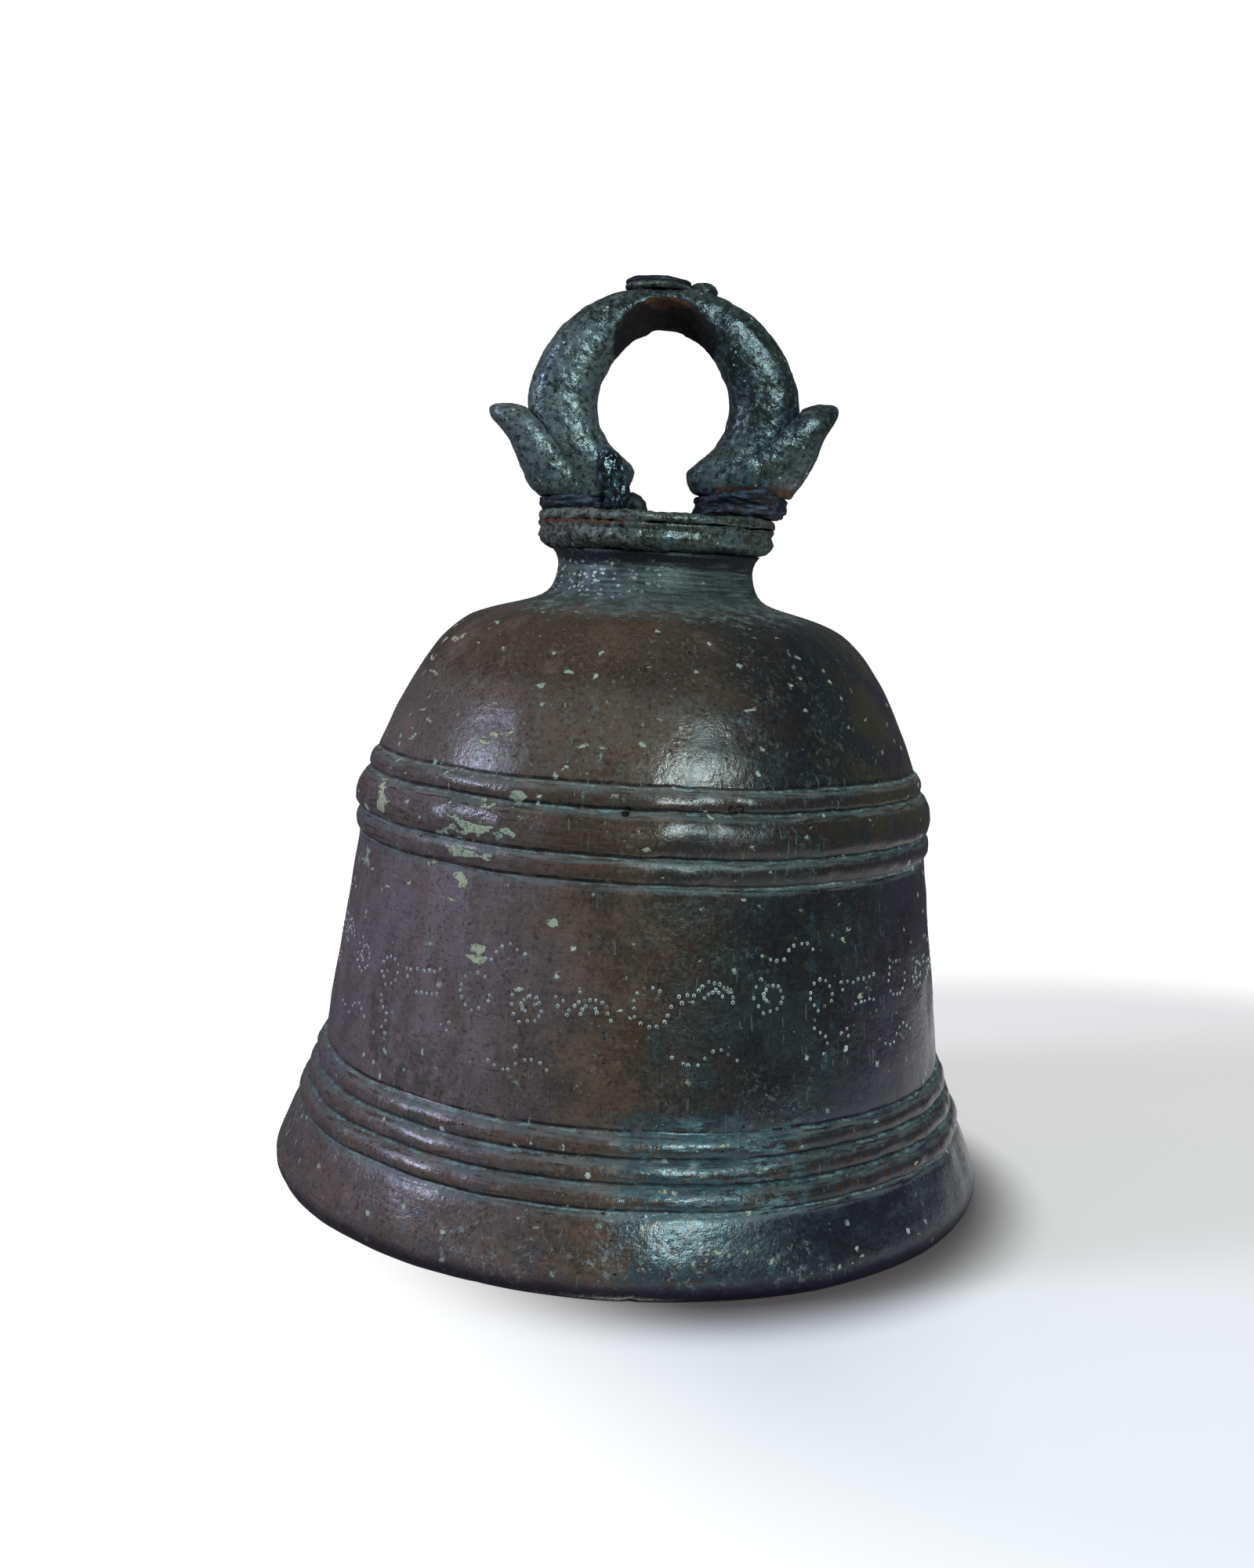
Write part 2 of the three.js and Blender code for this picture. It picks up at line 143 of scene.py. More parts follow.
def turned(outline, columns):
    """Radius, angle and height of every point of an outline that is turned round the axis."""
    theta = np.linspace(0, TAU, columns, endpoint=False)
    radius, height = np.repeat(outline, columns, axis=0).T
    return radius, np.tile(theta, len(outline)), height


def placed(radius, angle, height):
    """The points at these radii, angles from the front and heights."""
    return np.column_stack([radius * np.sin(angle), -radius * np.cos(angle), height + 0 * angle])


def spline(outline, per_span=8):
    """A smooth curve through an outline's points."""
    points = np.asarray(outline, float)
    padded = np.vstack([2 * points[0] - points[1], points, 2 * points[-1] - points[-2]])
    out = []
    for i in range(1, len(padded) - 2):
        p0, p1, p2, p3 = padded[i - 1:i + 3]
        for t in np.arange(per_span) / per_span:
            out.append(0.5 * (2 * p1 + (p2 - p0) * t + (2 * p0 - 5 * p1 + 4 * p2 - p3) * t ** 2
                              + (3 * p1 - p0 - 3 * p2 + p3) * t ** 3))
    out.append(points[-1])
    return np.array(out)


def vectors_of(piece, name):
    vertices = piece.data.vertices
    values = np.empty(len(vertices) * 3, np.float32)
    vertices.foreach_get(name, values)
    return values.reshape(-1, 3).astype(float)


def points_of(piece):
    return vectors_of(piece, "co") / MM


def normals_of(piece):
    return vectors_of(piece, "normal")


def push(piece, move):
    """Moves a piece's points along their normals, each by its own number of millimetres."""
    points = points_of(piece) + normals_of(piece) * move[:, None]
    piece.data.vertices.foreach_set("co", np.float32(points * MM).ravel())
    piece.data.update()


def recast(name, node, voxel, relax=4, added=()):
    """A finely meshed copy of a CAD node with its hard edges melted, as a casting or forging has them.

    added holds the (points, faces) of more lumps, which are fused to it.
    """
    shape = bmesh.new()
    shape.from_mesh(NODES[node].data)
    bmesh.ops.remove_doubles(shape, verts=shape.verts, dist=WELD * MM)
    for points, faces in added:
        corners = [shape.verts.new(Vector(point) * MM) for point in points]
        for face in faces:
            shape.faces.new([corners[i] for i in face])
    mesh = bpy.data.meshes.new(name)
    shape.to_mesh(mesh)
    shape.free()
    piece = add_object(name, mesh)
    remesh = piece.modifiers.new("remesh", "REMESH")
    remesh.mode = "VOXEL"
    remesh.voxel_size = voxel * MM
    relaxer = piece.modifiers.new("relax", "SMOOTH")
    relaxer.factor = 0.5
    relaxer.iterations = relax
    graph = bpy.context.evaluated_depsgraph_get()
    mesh = bpy.data.meshes.new_from_object(piece.evaluated_get(graph), depsgraph=graph)
    mesh.shade_smooth()
    piece.modifiers.clear()
    piece.data = mesh
    return piece


def sausage(route, radii, flat=1.0, sides=12):
    """Points and faces of a closed round bar along a route, its radius changing on the way.

    flat squeezes the bar along Y.
    """
    route = np.asarray(route, float)
    radii = np.asarray(radii, float)
    ahead = np.gradient(route, axis=0)
    ahead /= np.linalg.norm(ahead, axis=1)[:, None]
    aside = np.cross(ahead, [0.1, 1.0, 0.05])
    aside /= np.linalg.norm(aside, axis=1)[:, None]
    other = np.cross(ahead, aside)
    squeeze = np.array([1, flat, 1])
    points = []
    for centre, a, b, radius in zip(route, aside, other, radii):
        for turn in TAU * np.arange(sides) / sides:
            points.append(centre + (a * cos(turn) + b * sin(turn)) * radius * squeeze)
    return points, tube_faces(len(route), sides)


def roughen(piece, layers, pits=None):
    """Moves a piece's points along their normals by layers of (wavelength, height, seed) noise.

    pits is (wavelength, depth, cut, seed): only noise above cut digs in, so pits stay apart.
    """
    points = points_of(piece)
    move = np.zeros(len(points))
    for wavelength, height, seed in layers:
        move += height * ripple(points, wavelength, seed)
    dug = np.zeros(len(points))
    if pits:
        wavelength, depth, cut, seed = pits
        dug = smoothstep(cut, cut + 0.5, ripple(points, wavelength, seed))
        move -= depth * dug
    push(piece, move)
    # The pits' depths are stored for the crown's material to paint as shade.
    set_field(piece, "pit_shade", dug)


# ---- material helpers ----

class Value:
    """What a node puts out. Sums, differences and products of values make more nodes."""

    def __init__(self, socket):
        self.socket = socket
        self.tree = socket.id_data

    def combined(self, operation, a, b=0.0):
        return add_node(self.tree, "Math", {0: a, 1: b}, operation=operation)

    def __add__(self, other):
        return self.combined("ADD", self, other)

    def __sub__(self, other):
        return self.combined("SUBTRACT", self, other)

    def __rsub__(self, other):
        return self.combined("SUBTRACT", other, self)

    def __mul__(self, other):
        return self.combined("MULTIPLY", self, other)

    def step(self, low, high):
        """0 below low, 1 above high. low may be the larger, which turns it round."""
        flip = low > high
        inputs = {"Value": self, "From Min": min(low, high), "From Max": max(low, high),
                  "To Min": 1 if flip else 0, "To Max": 0 if flip else 1}
        return add_node(self.tree, "MapRange", inputs, interpolation_type="SMOOTHSTEP")

    def window(self, low, high, soft):
        """1 between low and high, fading to 0 over soft outside them."""
        return self.step(low - soft, low) * self.step(high + soft, high)

    def bands(self, levels, offset, half, soft):
        """1 within half of each level plus offset, fading to 0 over soft."""
        away = [self.combined("ABSOLUTE", self - (level + offset)) for level in levels]
        return most(*[distance.step(half + soft, half) for distance in away])


def put(socket, value):
    """Links an input socket to a value, or sets it to a number, a vector or a colour."""
    if isinstance(value, Value):
        value.tree.links.new(value.socket, socket)
    elif socket.type == "RGBA":
        socket.default_value = (*value, 1)
    else:
        socket.default_value = value


def add_node(tree, kind, inputs, output=0, **settings):
    """Adds a node, fills its inputs and returns one of its outputs as a value."""
    node = tree.nodes.new("ShaderNode" + kind)
    for name, setting in settings.items():
        setattr(node, name, setting)
    for name, value in inputs.items():
        put(node.inputs[name], value)
    return Value(node.outputs[output])


def most(first, *others):
    """The largest of some values."""
    for other in others:
        first = first.combined("MAXIMUM", first, other)
    return first


def mix(amount, a, b):
    """Colour a where amount is 0, b where it is 1."""
    return add_node(amount.tree, "Mix", {0: amount, 6: a, 7: b}, 2, data_type="RGBA")


def blend(amount, a, b):
    """Number a where amount is 0, b where it is 1."""
    return add_node(amount.tree, "Mix", {0: amount, 2: a, 3: b})


def node_tree(owner):
    """The empty node tree of a material or a world."""
    owner.use_nodes = True
    owner.node_tree.nodes.clear()
    return owner.node_tree


class Material:
    """A metal's surface, painted in layers. Its methods return values that vary over the surface."""

    def __init__(self, name, metallic, specular=0.5, coat=0.0, coat_roughness=0.03):
        self.material = bpy.data.materials.new(name)
        self.tree = node_tree(self.material)
        self.place = self.node("TexCoord", {}, "Object")
        self.inputs = {"Metallic": metallic, "Specular IOR Level": specular,
                       "Coat Weight": coat, "Coat Roughness": coat_roughness}
        self.colour = None

    def node(self, kind, inputs, output=0, **settings):
        return add_node(self.tree, kind, inputs, output, **settings)

    def stretched(self, x=1, y=1, z=1, turn=(0, 0, 0)):
        """The surface position, scaled: a small number draws the pattern out along that axis."""
        return self.node("Mapping", {"Vector": self.place, "Scale": (x, y, z), "Rotation": turn})

    def noise(self, size, detail=4, roughness=0.55, place=None, bend=0.0):
        """Noise whose patches are about size millimetres across, 0 to 1."""
        inputs = {"Vector": place or self.place, "Scale": 1 / (size * MM), "Detail": detail,
                  "Roughness": roughness, "Distortion": bend}
        return self.node("TexNoise", inputs, "Fac")

    def cells(self, size, place=None):
        """Distance to scattered points about size millimetres apart."""
        inputs = {"Vector": place or self.place, "Scale": 1 / (size * MM)}
        return self.node("TexVoronoi", inputs, "Distance")

    def field(self, name):
        """A number stored at each point of the mesh."""
        return self.node("Attribute", {}, "Fac", attribute_name=name)

    def axis(self, index):
        return self.node("SeparateXYZ", {0: self.place}, index)

    def spot(self, angle, height, width):
        """1 within width of a place on the shoulder, given in degrees from the front."""
        turn = radians(angle)
        reach = SHOULDER_RADII[2] + 0.6
        place = Vector((sin(turn) * reach, -cos(turn) * reach, height)) * MM
        away = self.node("VectorMath", {0: self.place, 1: place}, "Value", operation="DISTANCE")
        return away.step((width + 0.3) * MM, width * MM)

    def paint(self, colour, amount):
        """Lays a colour over the ones before it, fully where amount is 1."""
        self.colour = mix(amount, self.colour, colour)

    def finish(self, roughness, height, distance):
        """Sets colour and roughness, and bumps the surface by height times distance millimetres."""
        normal = self.node("Bump", {"Strength": 1.0, "Distance": distance * MM, "Height": height})
        inputs = {**self.inputs, "Base Color": self.colour, "Roughness": roughness, "Normal": normal}
        output = self.tree.nodes.new("ShaderNodeOutputMaterial")
        put(output.inputs[0], self.node("BsdfPrincipled", inputs))
        return self.material


# Colours, linear.
BROWN = (0.168, 0.107, 0.07)
CHOCOLATE = (0.066, 0.039, 0.026)
RUSSET = (0.095, 0.046, 0.022)
PLUM = (0.275, 0.205, 0.225)
GREY_BROWN = (0.125, 0.11, 0.098)
PALE_BROWN = (0.155, 0.115, 0.092)
PALE_GREY = (0.19, 0.18, 0.165)
OLIVE = (0.052, 0.05, 0.024)
SEA_GREEN = (0.022, 0.036, 0.03)
NIGHT = (0.016, 0.015, 0.018)
DEEP_BLUE = (0.012, 0.02, 0.032)
TEAL = (0.062, 0.16, 0.165)
DULL_TEAL = (0.075, 0.11, 0.104)
PALE_TEAL = (0.24, 0.36, 0.34)
VERDIGRIS = (0.42, 0.46, 0.33)
LICHEN = (0.55, 0.54, 0.34)
BONE = (0.6, 0.63, 0.56)
INK = (0.01, 0.009, 0.012)
RUST = (0.2, 0.075, 0.022)
DARK_RUST = (0.05, 0.022, 0.013)
IRON_BLACK = (0.013, 0.017, 0.024)
TAN = (0.185, 0.14, 0.108)
DARK_BROWN = (0.07, 0.045, 0.026)
DEEP_VIOLET = (0.034, 0.021, 0.04)
KHAKI = (0.074, 0.062, 0.024)
DARK_TEAL = (0.035, 0.08, 0.095)
SLATE = (0.07, 0.088, 0.104)
SCUFF_GREY = (0.33, 0.345, 0.335)
SCRATCH_GREY = (0.21, 0.22, 0.21)
AUBERGINE = (0.04, 0.024, 0.042)
BLACK_VIOLET = (0.02, 0.012, 0.026)
GREY_GREEN = (0.062, 0.08, 0.068)
PALE_GREEN = (0.165, 0.205, 0.185)
DARK_GREEN = (0.018, 0.026, 0.021)
SAGE = (0.105, 0.135, 0.115)
PALE_SAGE = (0.155, 0.185, 0.18)
CROWN_GREEN = (0.122, 0.148, 0.142)
CROWN_DARK = (0.026, 0.036, 0.033)
CROWN_TEAL = (0.08, 0.16, 0.165)
CROWN_BLUE = (0.06, 0.1, 0.165)
MOSS = (0.05, 0.058, 0.024)
LAVENDER = (0.15, 0.145, 0.17)
CELADON = (0.225, 0.265, 0.24)
SHADED_GREEN = (0.018, 0.022, 0.02)
ASH = (0.06, 0.07, 0.062)
PALE_ASH = (0.135, 0.15, 0.135)
DARK_OIL = (0.038, 0.036, 0.018)
OIL = (0.12, 0.125, 0.085)
UMBER = (0.05, 0.04, 0.026)
SAND = (0.24, 0.225, 0.175)
DARK_PEBBLE = (0.012, 0.017, 0.014)
PALE_PEBBLE = (0.2, 0.26, 0.25)
PIT_BLACK = (0.01, 0.012, 0.01)
SHADE_BLACK = (0.006, 0.006, 0.007)
STEEL_BLUE = (0.085, 0.12, 0.18)
SOLDER_BLACK = (0.01, 0.014, 0.018)
SOLDER_BLUE = (0.06, 0.105, 0.12)
BRIGHT_METAL = (0.78, 0.8, 0.77)
PALE_DIRT = (0.5, 0.57, 0.53)
DULL_METAL = (0.055, 0.045, 0.04)


def polished_bronze():
    """The bell's own patina: rubbed brown, teal in the grooves, green crusts and pale specks."""
    m = Material("polished_bronze", metallic=0.22, specular=0.6)
    x = m.axis(0)
    broad = m.noise(75, 3)
    cloudy = m.noise(20, 5, 0.6)
    mottle = m.noise(5, 6, 0.68)
    grain = m.noise(1.3, 4, 0.65)
    fine = m.noise(0.5, 2, 0.6)
    drips = m.noise(6, 4, 0.6, m.stretched(z=0.2))
    wiped = m.noise(1.5, 4, 0.6, m.stretched(z=0.12))
    brushed = m.noise(1.1, 4, 0.65, m.stretched(x=0.1, y=0.1, z=1.5))
    level = m.field("level")
    outside = m.field("outside")

    # Brown all over, with painted light, a violet sheen, on the left, and painted shade and green patina
    # on the right.
    m.colour = mix((cloudy * 0.6 + mottle * 0.4).step(0.38, 0.62), BROWN, CHOCOLATE)
    m.paint(RUSSET, m.noise(30, 4, 0.6).step(0.5, 0.64) * 0.6)
    # Painted light: the side that faces the left window is painted a lighter violet, in vertical streaks.
    left = (x + broad * 0.07).step(0.03, -0.03)
    streaks = m.noise(9, 4, 0.6, m.stretched(z=0.3))
    left = left * blend(streaks.step(0.4, 0.58), 0.6, 1.0)
    m.paint(PLUM, left * level.step(186, 120) * blend(level.step(22, 54), 0.5, 1.0) * 0.78)
    lighter = (mottle * 0.5 + wiped * 0.5).step(0.5, 0.66)
    m.paint(GREY_BROWN, lighter * 0.62)
    beads = m.field("beads")
    m.paint(PALE_BROWN, brushed.step(0.54, 0.66) * blend(beads, 0.35, 0.9))
    m.paint(CHOCOLATE, brushed.step(0.46, 0.36) * blend(beads, 0.3, 0.9))
    olive = broad.step(0.5, 0.62) * mottle.step(0.36, 0.6)
    m.paint(OLIVE, olive * 0.55)
    # Painted sheen: the dome, all but its right side, is painted a lighter tan in place of a soft
    # reflection from above.
    dome = level.window(142, 178, 12) * (x + broad * 0.03).step(0.05, 0.03)
    m.paint(TAN, dome * mottle.step(0.38, 0.6) * 0.65)
    high = level.window(168, 190, 9) * (cloudy + mottle * 0.4).step(0.5, 0.76)
    m.paint(DARK_BROWN, high * 0.8)
    right = (x + broad * 0.05 + cloudy * 0.02).step(0.026, 0.08)
    far_right = (x + broad * 0.04).step(0.072, 0.1)
    # Painted shade: the right side is painted near black in broad patches.
    m.paint(NIGHT, right * mottle.step(0.84, 0.5) * 0.96)
    green = right * (cloudy + mottle * 0.5).step(0.68, 0.86)
    m.paint(SEA_GREEN, green * 0.5)
    moss = right * m.noise(13, 5, 0.7).step(0.56, 0.66) * mottle.step(0.45, 0.6)
    m.paint(OLIVE, moss * 0.7)
    m.paint(DEEP_BLUE, right * drips.step(0.54, 0.68) * 0.7)
    runs = right * drips.step(0.58, 0.7) * mottle.step(0.46, 0.62)
    m.paint(TEAL, runs * level.window(0, 138, 6) * 0.6)
    # Painted shade: the far right edge is painted a dark violet.
    m.paint(DEEP_VIOLET, far_right * cloudy.step(0.3, 0.55) * 0.75)
    # Painted rim light: the right edge of the shoulder beads and dome is painted khaki, as a warm light
    # from behind would light it.
    rim = level.window(128, 186, 10) * (x + mottle * 0.02).step(0.052, 0.08)
    m.paint(KHAKI, rim * cloudy.step(0.62, 0.42) * 0.62)
    blue_beads = right * level.step(62, 48) * brushed.step(0.4, 0.56)
    m.paint(DEEP_BLUE, blue_beads * 0.55)
    speckle = grain * 0.6 + fine * 0.4
    m.paint(INK, speckle.step(0.48, 0.37) * 0.62)
    m.paint(mix(right, PALE_BROWN, SEA_GREEN), speckle.step(0.54, 0.64) * 0.45)

    # Grooves hold patina that the polishing cloth never reached: dust lies on each bead's upper slope and
    # a pale line runs in the groove. The foot of the bead above faces down and is painted dark: painted
    # shade.
    ragged_level = level + (grain - 0.5) * 1.1
    held = (mottle * 0.5 + cloudy * 0.7).step(0.42, 0.72)
    dust = ragged_level.bands(GROOVES, -1.2, 0.3, 1.4) * brushed.step(0.36, 0.58) * 0.75
    m.paint(mix(held * 0.8, PALE_GREY, DULL_TEAL), dust * outside)
    line = ragged_level.bands(GROOVES, -0.35, 0.1, 0.28) * outside
    chalk = m.noise(5, 5, 0.75, m.stretched(z=1.6)).step(0.46, 0.62)
    m.paint(PALE_TEAL, line * (chalk * 0.8 + 0.12))
    broken = m.noise(8, 4, 0.6).step(0.36, 0.56)
    # Painted shade: black at the foot of each bead, just above its groove.
    m.paint(INK, level.bands(GROOVES, 0.6, 0.3, 0.35) * outside * (broken * 0.6 + 0.3))
    crest = m.field("crest") * mottle.step(0.6, 0.4)
    m.paint(mix(level.step(60, 50), CHOCOLATE, RUSSET), crest * 0.5)

    # Teal and pale smears where water ran, on the lower beads right of the middle, and painted reflection,
    # a dark teal, on the lip and lower beads right of the middle.
    streaky = m.noise(2.6, 6, 0.75, m.stretched(x=0.35, y=0.35, z=1.7))
    wet = level.window(25, 45, 5) * x.window(0.006, 0.04, 0.016) * outside
    smear = wet * streaky.step(0.5, 0.6)
    m.paint(mix(chalk, TEAL, PALE_TEAL), smear * 0.85)
    # Painted reflection: dark teal where the low window's highlight falls; the same patch is also made
    # glossier.
    sheen = level.window(7, 46, 6) * x.window(0.002, 0.026, 0.012) * outside
    m.paint(DARK_TEAL, sheen * m.noise(4, 6, 0.75).step(0.42, 0.56) * 0.7)
    haze = level.step(60, 34) * m.noise(9, 5, 0.7, m.stretched(z=1.8)).step(0.5, 0.68) * outside
    m.paint(SLATE, haze * 0.4)

    # Crusts: flat islands with ragged edges, most of them high on the left.
    crusty = x.step(0.005, -0.05) * level.step(60, 125) * 0.062
    island = m.noise(7, 2, 0.5, m.stretched(z=2.0), 0.3) + m.noise(1.5, 4, 0.65) * 0.17 + crusty
    island = island + m.noise(38, 2) * 0.2 + m.field("crusted") * 0.36
    crust = island.step(0.915, 0.94) * m.noise(0.9, 3, 0.6).step(0.34, 0.44)
    tint = mix(m.noise(30, 1).step(0.42, 0.56), VERDIGRIS, LICHEN)
    tint = mix(m.noise(2.2, 4, 0.7).step(0.5, 0.66) * 0.7, tint, DULL_TEAL)
    thin = island.step(0.86, 0.925) * grain.step(0.45, 0.6)
    m.paint(DULL_TEAL, thin * 0.4)
    m.paint(tint, crust * 0.94)

    # Specks, splashes and scratches.
    flick = m.cells(7) + m.noise(1.5, 4, 0.75) * 0.6
    flick = flick + m.noise(5, 2) * 0.22
    specks = flick.step(0.525, 0.49) * m.noise(26, 2).step(0.4, 0.52)
    m.paint(mix(cloudy.step(0.4, 0.6), BONE, VERDIGRIS), specks * 0.9)
    dots = m.cells(2.6) + m.noise(0.8, 2) * 0.16
    dotted = dots.step(0.2, 0.15) * m.noise(15, 3).step(0.5, 0.62)
    m.paint(PALE_TEAL, dotted * 0.6)
    scuffs = m.noise(2.6, 6, 0.8).step(0.53, 0.62) * m.noise(17, 3).step(0.47, 0.58)
    scuffs = scuffs * blend(level.step(30, 20), 0.35, 1.0) * outside * x.step(0.075, 0.055)
    m.paint(SCUFF_GREY, scuffs * 0.6)
    hair = m.stretched(z=0.05, turn=(0.5, 0.9, 0.3))
    scratch = m.noise(1.0, 1, 0.4, hair).step(0.68, 0.74) * m.noise(20, 2).step(0.45, 0.56)
    wipe = wiped.step(0.66, 0.74) * m.noise(16, 3).step(0.5, 0.62)
    m.paint(SCRATCH_GREY, most(scratch, wipe) * 0.45)
    foot = (level + mottle * 6).step(10.5, 6.5) * outside
    m.paint(AUBERGINE, foot * 0.7)
    # Painted shade: pinholes and the casting holes in FLAWS are painted black, for the dark inside them.
    tiny = m.cells(5.2, place=m.stretched(z=1.4)).step(0.1, 0.06)
    hole = tiny * m.noise(17, 2).step(0.56, 0.62)
    hole = most(hole, *[m.spot(angle, height, width) for angle, height, width in FLAWS])
    m.paint(INK, hole)

    # The lip's edge is dark; the dome's top is dusty; the neck is green with lathe lines.
    low = (level + mottle * 7).step(10.5, 5.0)
    m.paint(BLACK_VIOLET, low * outside * 0.8)
    wavy = level + (cloudy - 0.5) * 9 + (grain - 0.5) * 3
    settled = wavy + (mottle - 0.5) * 9
    dusty = settled.window(186.2, 190, 3.6) * outside
    powder = mix(mottle.step(0.42, 0.58), GREY_GREEN, PALE_GREEN)
    m.paint(powder, dusty * blend(grain.step(0.4, 0.58), 0.45, 0.85))
    neck = settled.step(188.0, 192.0) * outside
    lathe = m.noise(1.6, 4, 0.65, m.stretched(x=0.1, y=0.1, z=1.7))
    verdant = mix(lathe.step(0.4, 0.62), DARK_GREEN, SAGE)
    verdant = mix(lathe.step(0.62, 0.7) * 0.8, verdant, PALE_TEAL)
    flakes = m.cells(2.4, place=m.stretched(z=1.5)) + mottle * 0.6 + m.noise(0.9, 3, 0.7) * 0.9
    chipped = flakes.step(1.06, 0.98) * blend(x.step(0.01, -0.018), mottle.step(0.58, 0.62), 1.0)
    # Painted light: the neck's left side, which faces the left window, is painted a paler sage.
    verdant = mix(x.step(0.012, -0.02) * mottle.step(0.44, 0.56) * 0.6, verdant, PALE_SAGE)
    verdant = mix(chipped, verdant, BONE)
    m.paint(verdant, neck * 0.92)
    # Painted shadow: a black band round the neck's top, under the collar's overhang.
    m.paint(INK, wavy.step(198.6, 200.6) * outside * 0.92)

    smooth = blend(cloudy.step(0.3, 0.7), 0.21, 0.32)
    rough = smooth + (grain - 0.5) * 0.45
    rough = blend(sheen * 0.7, rough, 0.18)
    rough = blend(most(dust, line) * 0.8, rough, 0.66)
    rough = blend(most(crust, specks, smear), rough, 0.85)
    rough = blend(green * 0.12, rough, 0.5)
    rough = blend(dusty * 0.8, rough, 0.7)
    rough = blend(neck * 0.7, rough, 0.48)
    height = m.noise(2.2, 3, 0.6) * 0.9 + grain * 0.34 + fine * 0.1
    height = height + wiped * 0.15 + mottle * 0.6 + crust + specks * 0.8
    height = height + brushed * 0.2 + neck * lathe * 1.6
    height = height - (scratch * 0.6 + hole * 4.0)
    return m.finish(rough, height, 0.17)


def green_bronze(name, pale=0.5, crusted=0.0):
    """The crown's patina: dark bronze under glossy grey-green, pitted, with pale grains in the pits.

    crusted covers its left side with grey-brown crust, as on the collar.
    """
    m = Material(name, metallic=0.35, specular=0.6, coat_roughness=0.16)
    x = m.axis(0)
    z = m.axis(2)
    broad = m.noise(26, 3)
    cloudy = m.noise(9, 5, 0.6)
    mottle = m.noise(2.6, 6, 0.7)
    grain = m.noise(0.8, 4, 0.65)
    base = cloudy * 0.55 + mottle * 0.45
    m.colour = mix(base.step(0.45, 0.56), CROWN_GREEN, CROWN_DARK)
    m.paint(CROWN_TEAL, mottle.step(0.5, 0.62) * 0.65)
    m.paint(CROWN_BLUE, m.noise(12, 4, 0.65).step(0.54, 0.6) * (0.6 - 0.45 * crusted))
    m.paint(MOSS, m.noise(10, 5, 0.65).step(0.54, 0.62) * 0.75)
    # Painted light: the left side, which faces the left window, is painted lavender in patches and a paler
    # celadon.
    violet = broad.step(0.5, 0.6) * x.step(0.01, -0.03)
    m.paint(LAVENDER, violet * 0.6)
    m.paint(CELADON, x.step(0.004, -0.026) * mottle.step(0.42, 0.54) * 0.7)

    # The right side and the top are darker.
    shaded = (x + broad * 0.03).step(0.01, 0.034) * z.step(0.232, 0.246)
    shaded = most(shaded, z.step(0.27, 0.278))
    m.paint(SHADED_GREEN, shaded * mottle.step(0.7, 0.44) * 0.86)
    up = m.field("up").step(0.25, 0.9)
    grey = mix(grain.step(0.4, 0.6), ASH, PALE_ASH)
    m.paint(grey, up * cloudy.step(0.42, 0.58) * 0.6)

    oily = cloudy.step(0.4, 0.54) * (crusted * 0.7)
    m.paint(mix(mottle.step(0.42, 0.58), DARK_OIL, OIL), oily)
    crust = (x + broad * 0.05).step(0.026, -0.006) * crusted
    crust = crust * cloudy.step(0.36, 0.5)
    rind = mix(mottle.step(0.4, 0.56), UMBER, SAND)
    m.paint(rind, crust * 0.9)

    pebbles = m.noise(1.7, 4, 0.6)
    m.paint(DARK_PEBBLE, pebbles.step(0.48, 0.38) * 0.8)
    m.paint(PALE_PEBBLE, pebbles.step(0.57, 0.64) * 0.45)
    chips = (m.cells(2.3) + mottle * 0.6).step(0.5, 0.4) * cloudy.step(0.4, 0.56)
    m.paint(PALE_TEAL, chips * pale)
    flick = m.cells(3.6) + grain * 0.25
    specks = flick.step(0.27, 0.22) * m.noise(7, 3).step(0.44, 0.54)
    m.paint(BONE, specks * 0.85)
    # Painted shade: pits and the hollows between lumps of crust are painted near black, and made rougher.
    pit_shade = m.field("pit_shade")
    m.paint(PIT_BLACK, pit_shade * 0.85)
    # Painted shade with wear: the scoop under the loop's top, whose faces look down, is painted black with
    # dark rust.
    worn_and_shaded = m.field("worn_and_shaded").step(0.15, 0.7)
    iron = mix((mottle + m.field("rust") * 0.2).step(0.46, 0.66) * 0.8, SHADE_BLACK, DARK_RUST)
    m.paint(iron, worn_and_shaded)
    rust = (m.field("rust") + m.noise(3.5, 5, 0.7) * 1.2).step(1.15, 1.38)
    m.paint(mix(grain.step(0.4, 0.6), RUST, DARK_RUST), rust * 0.85)

    m.inputs["Coat Weight"] = (1.0 - most(worn_and_shaded, crust)) * 0.12
    rough = blend(mottle.step(0.35, 0.7), 0.21, 0.42)
    rough = blend(most(crust * 0.7, specks, up * 0.5), rough, 0.72)
    rough = blend(most(rust, pit_shade * 0.5, worn_and_shaded * 0.8), rough, 0.85)
    height = m.noise(3.4, 3, 0.6) * 1.4 + pebbles * 0.55 + grain * 0.15 + chips * 0.3
    height = height + crust * mottle * 1.4
    return m.finish(rough, height, 0.3)


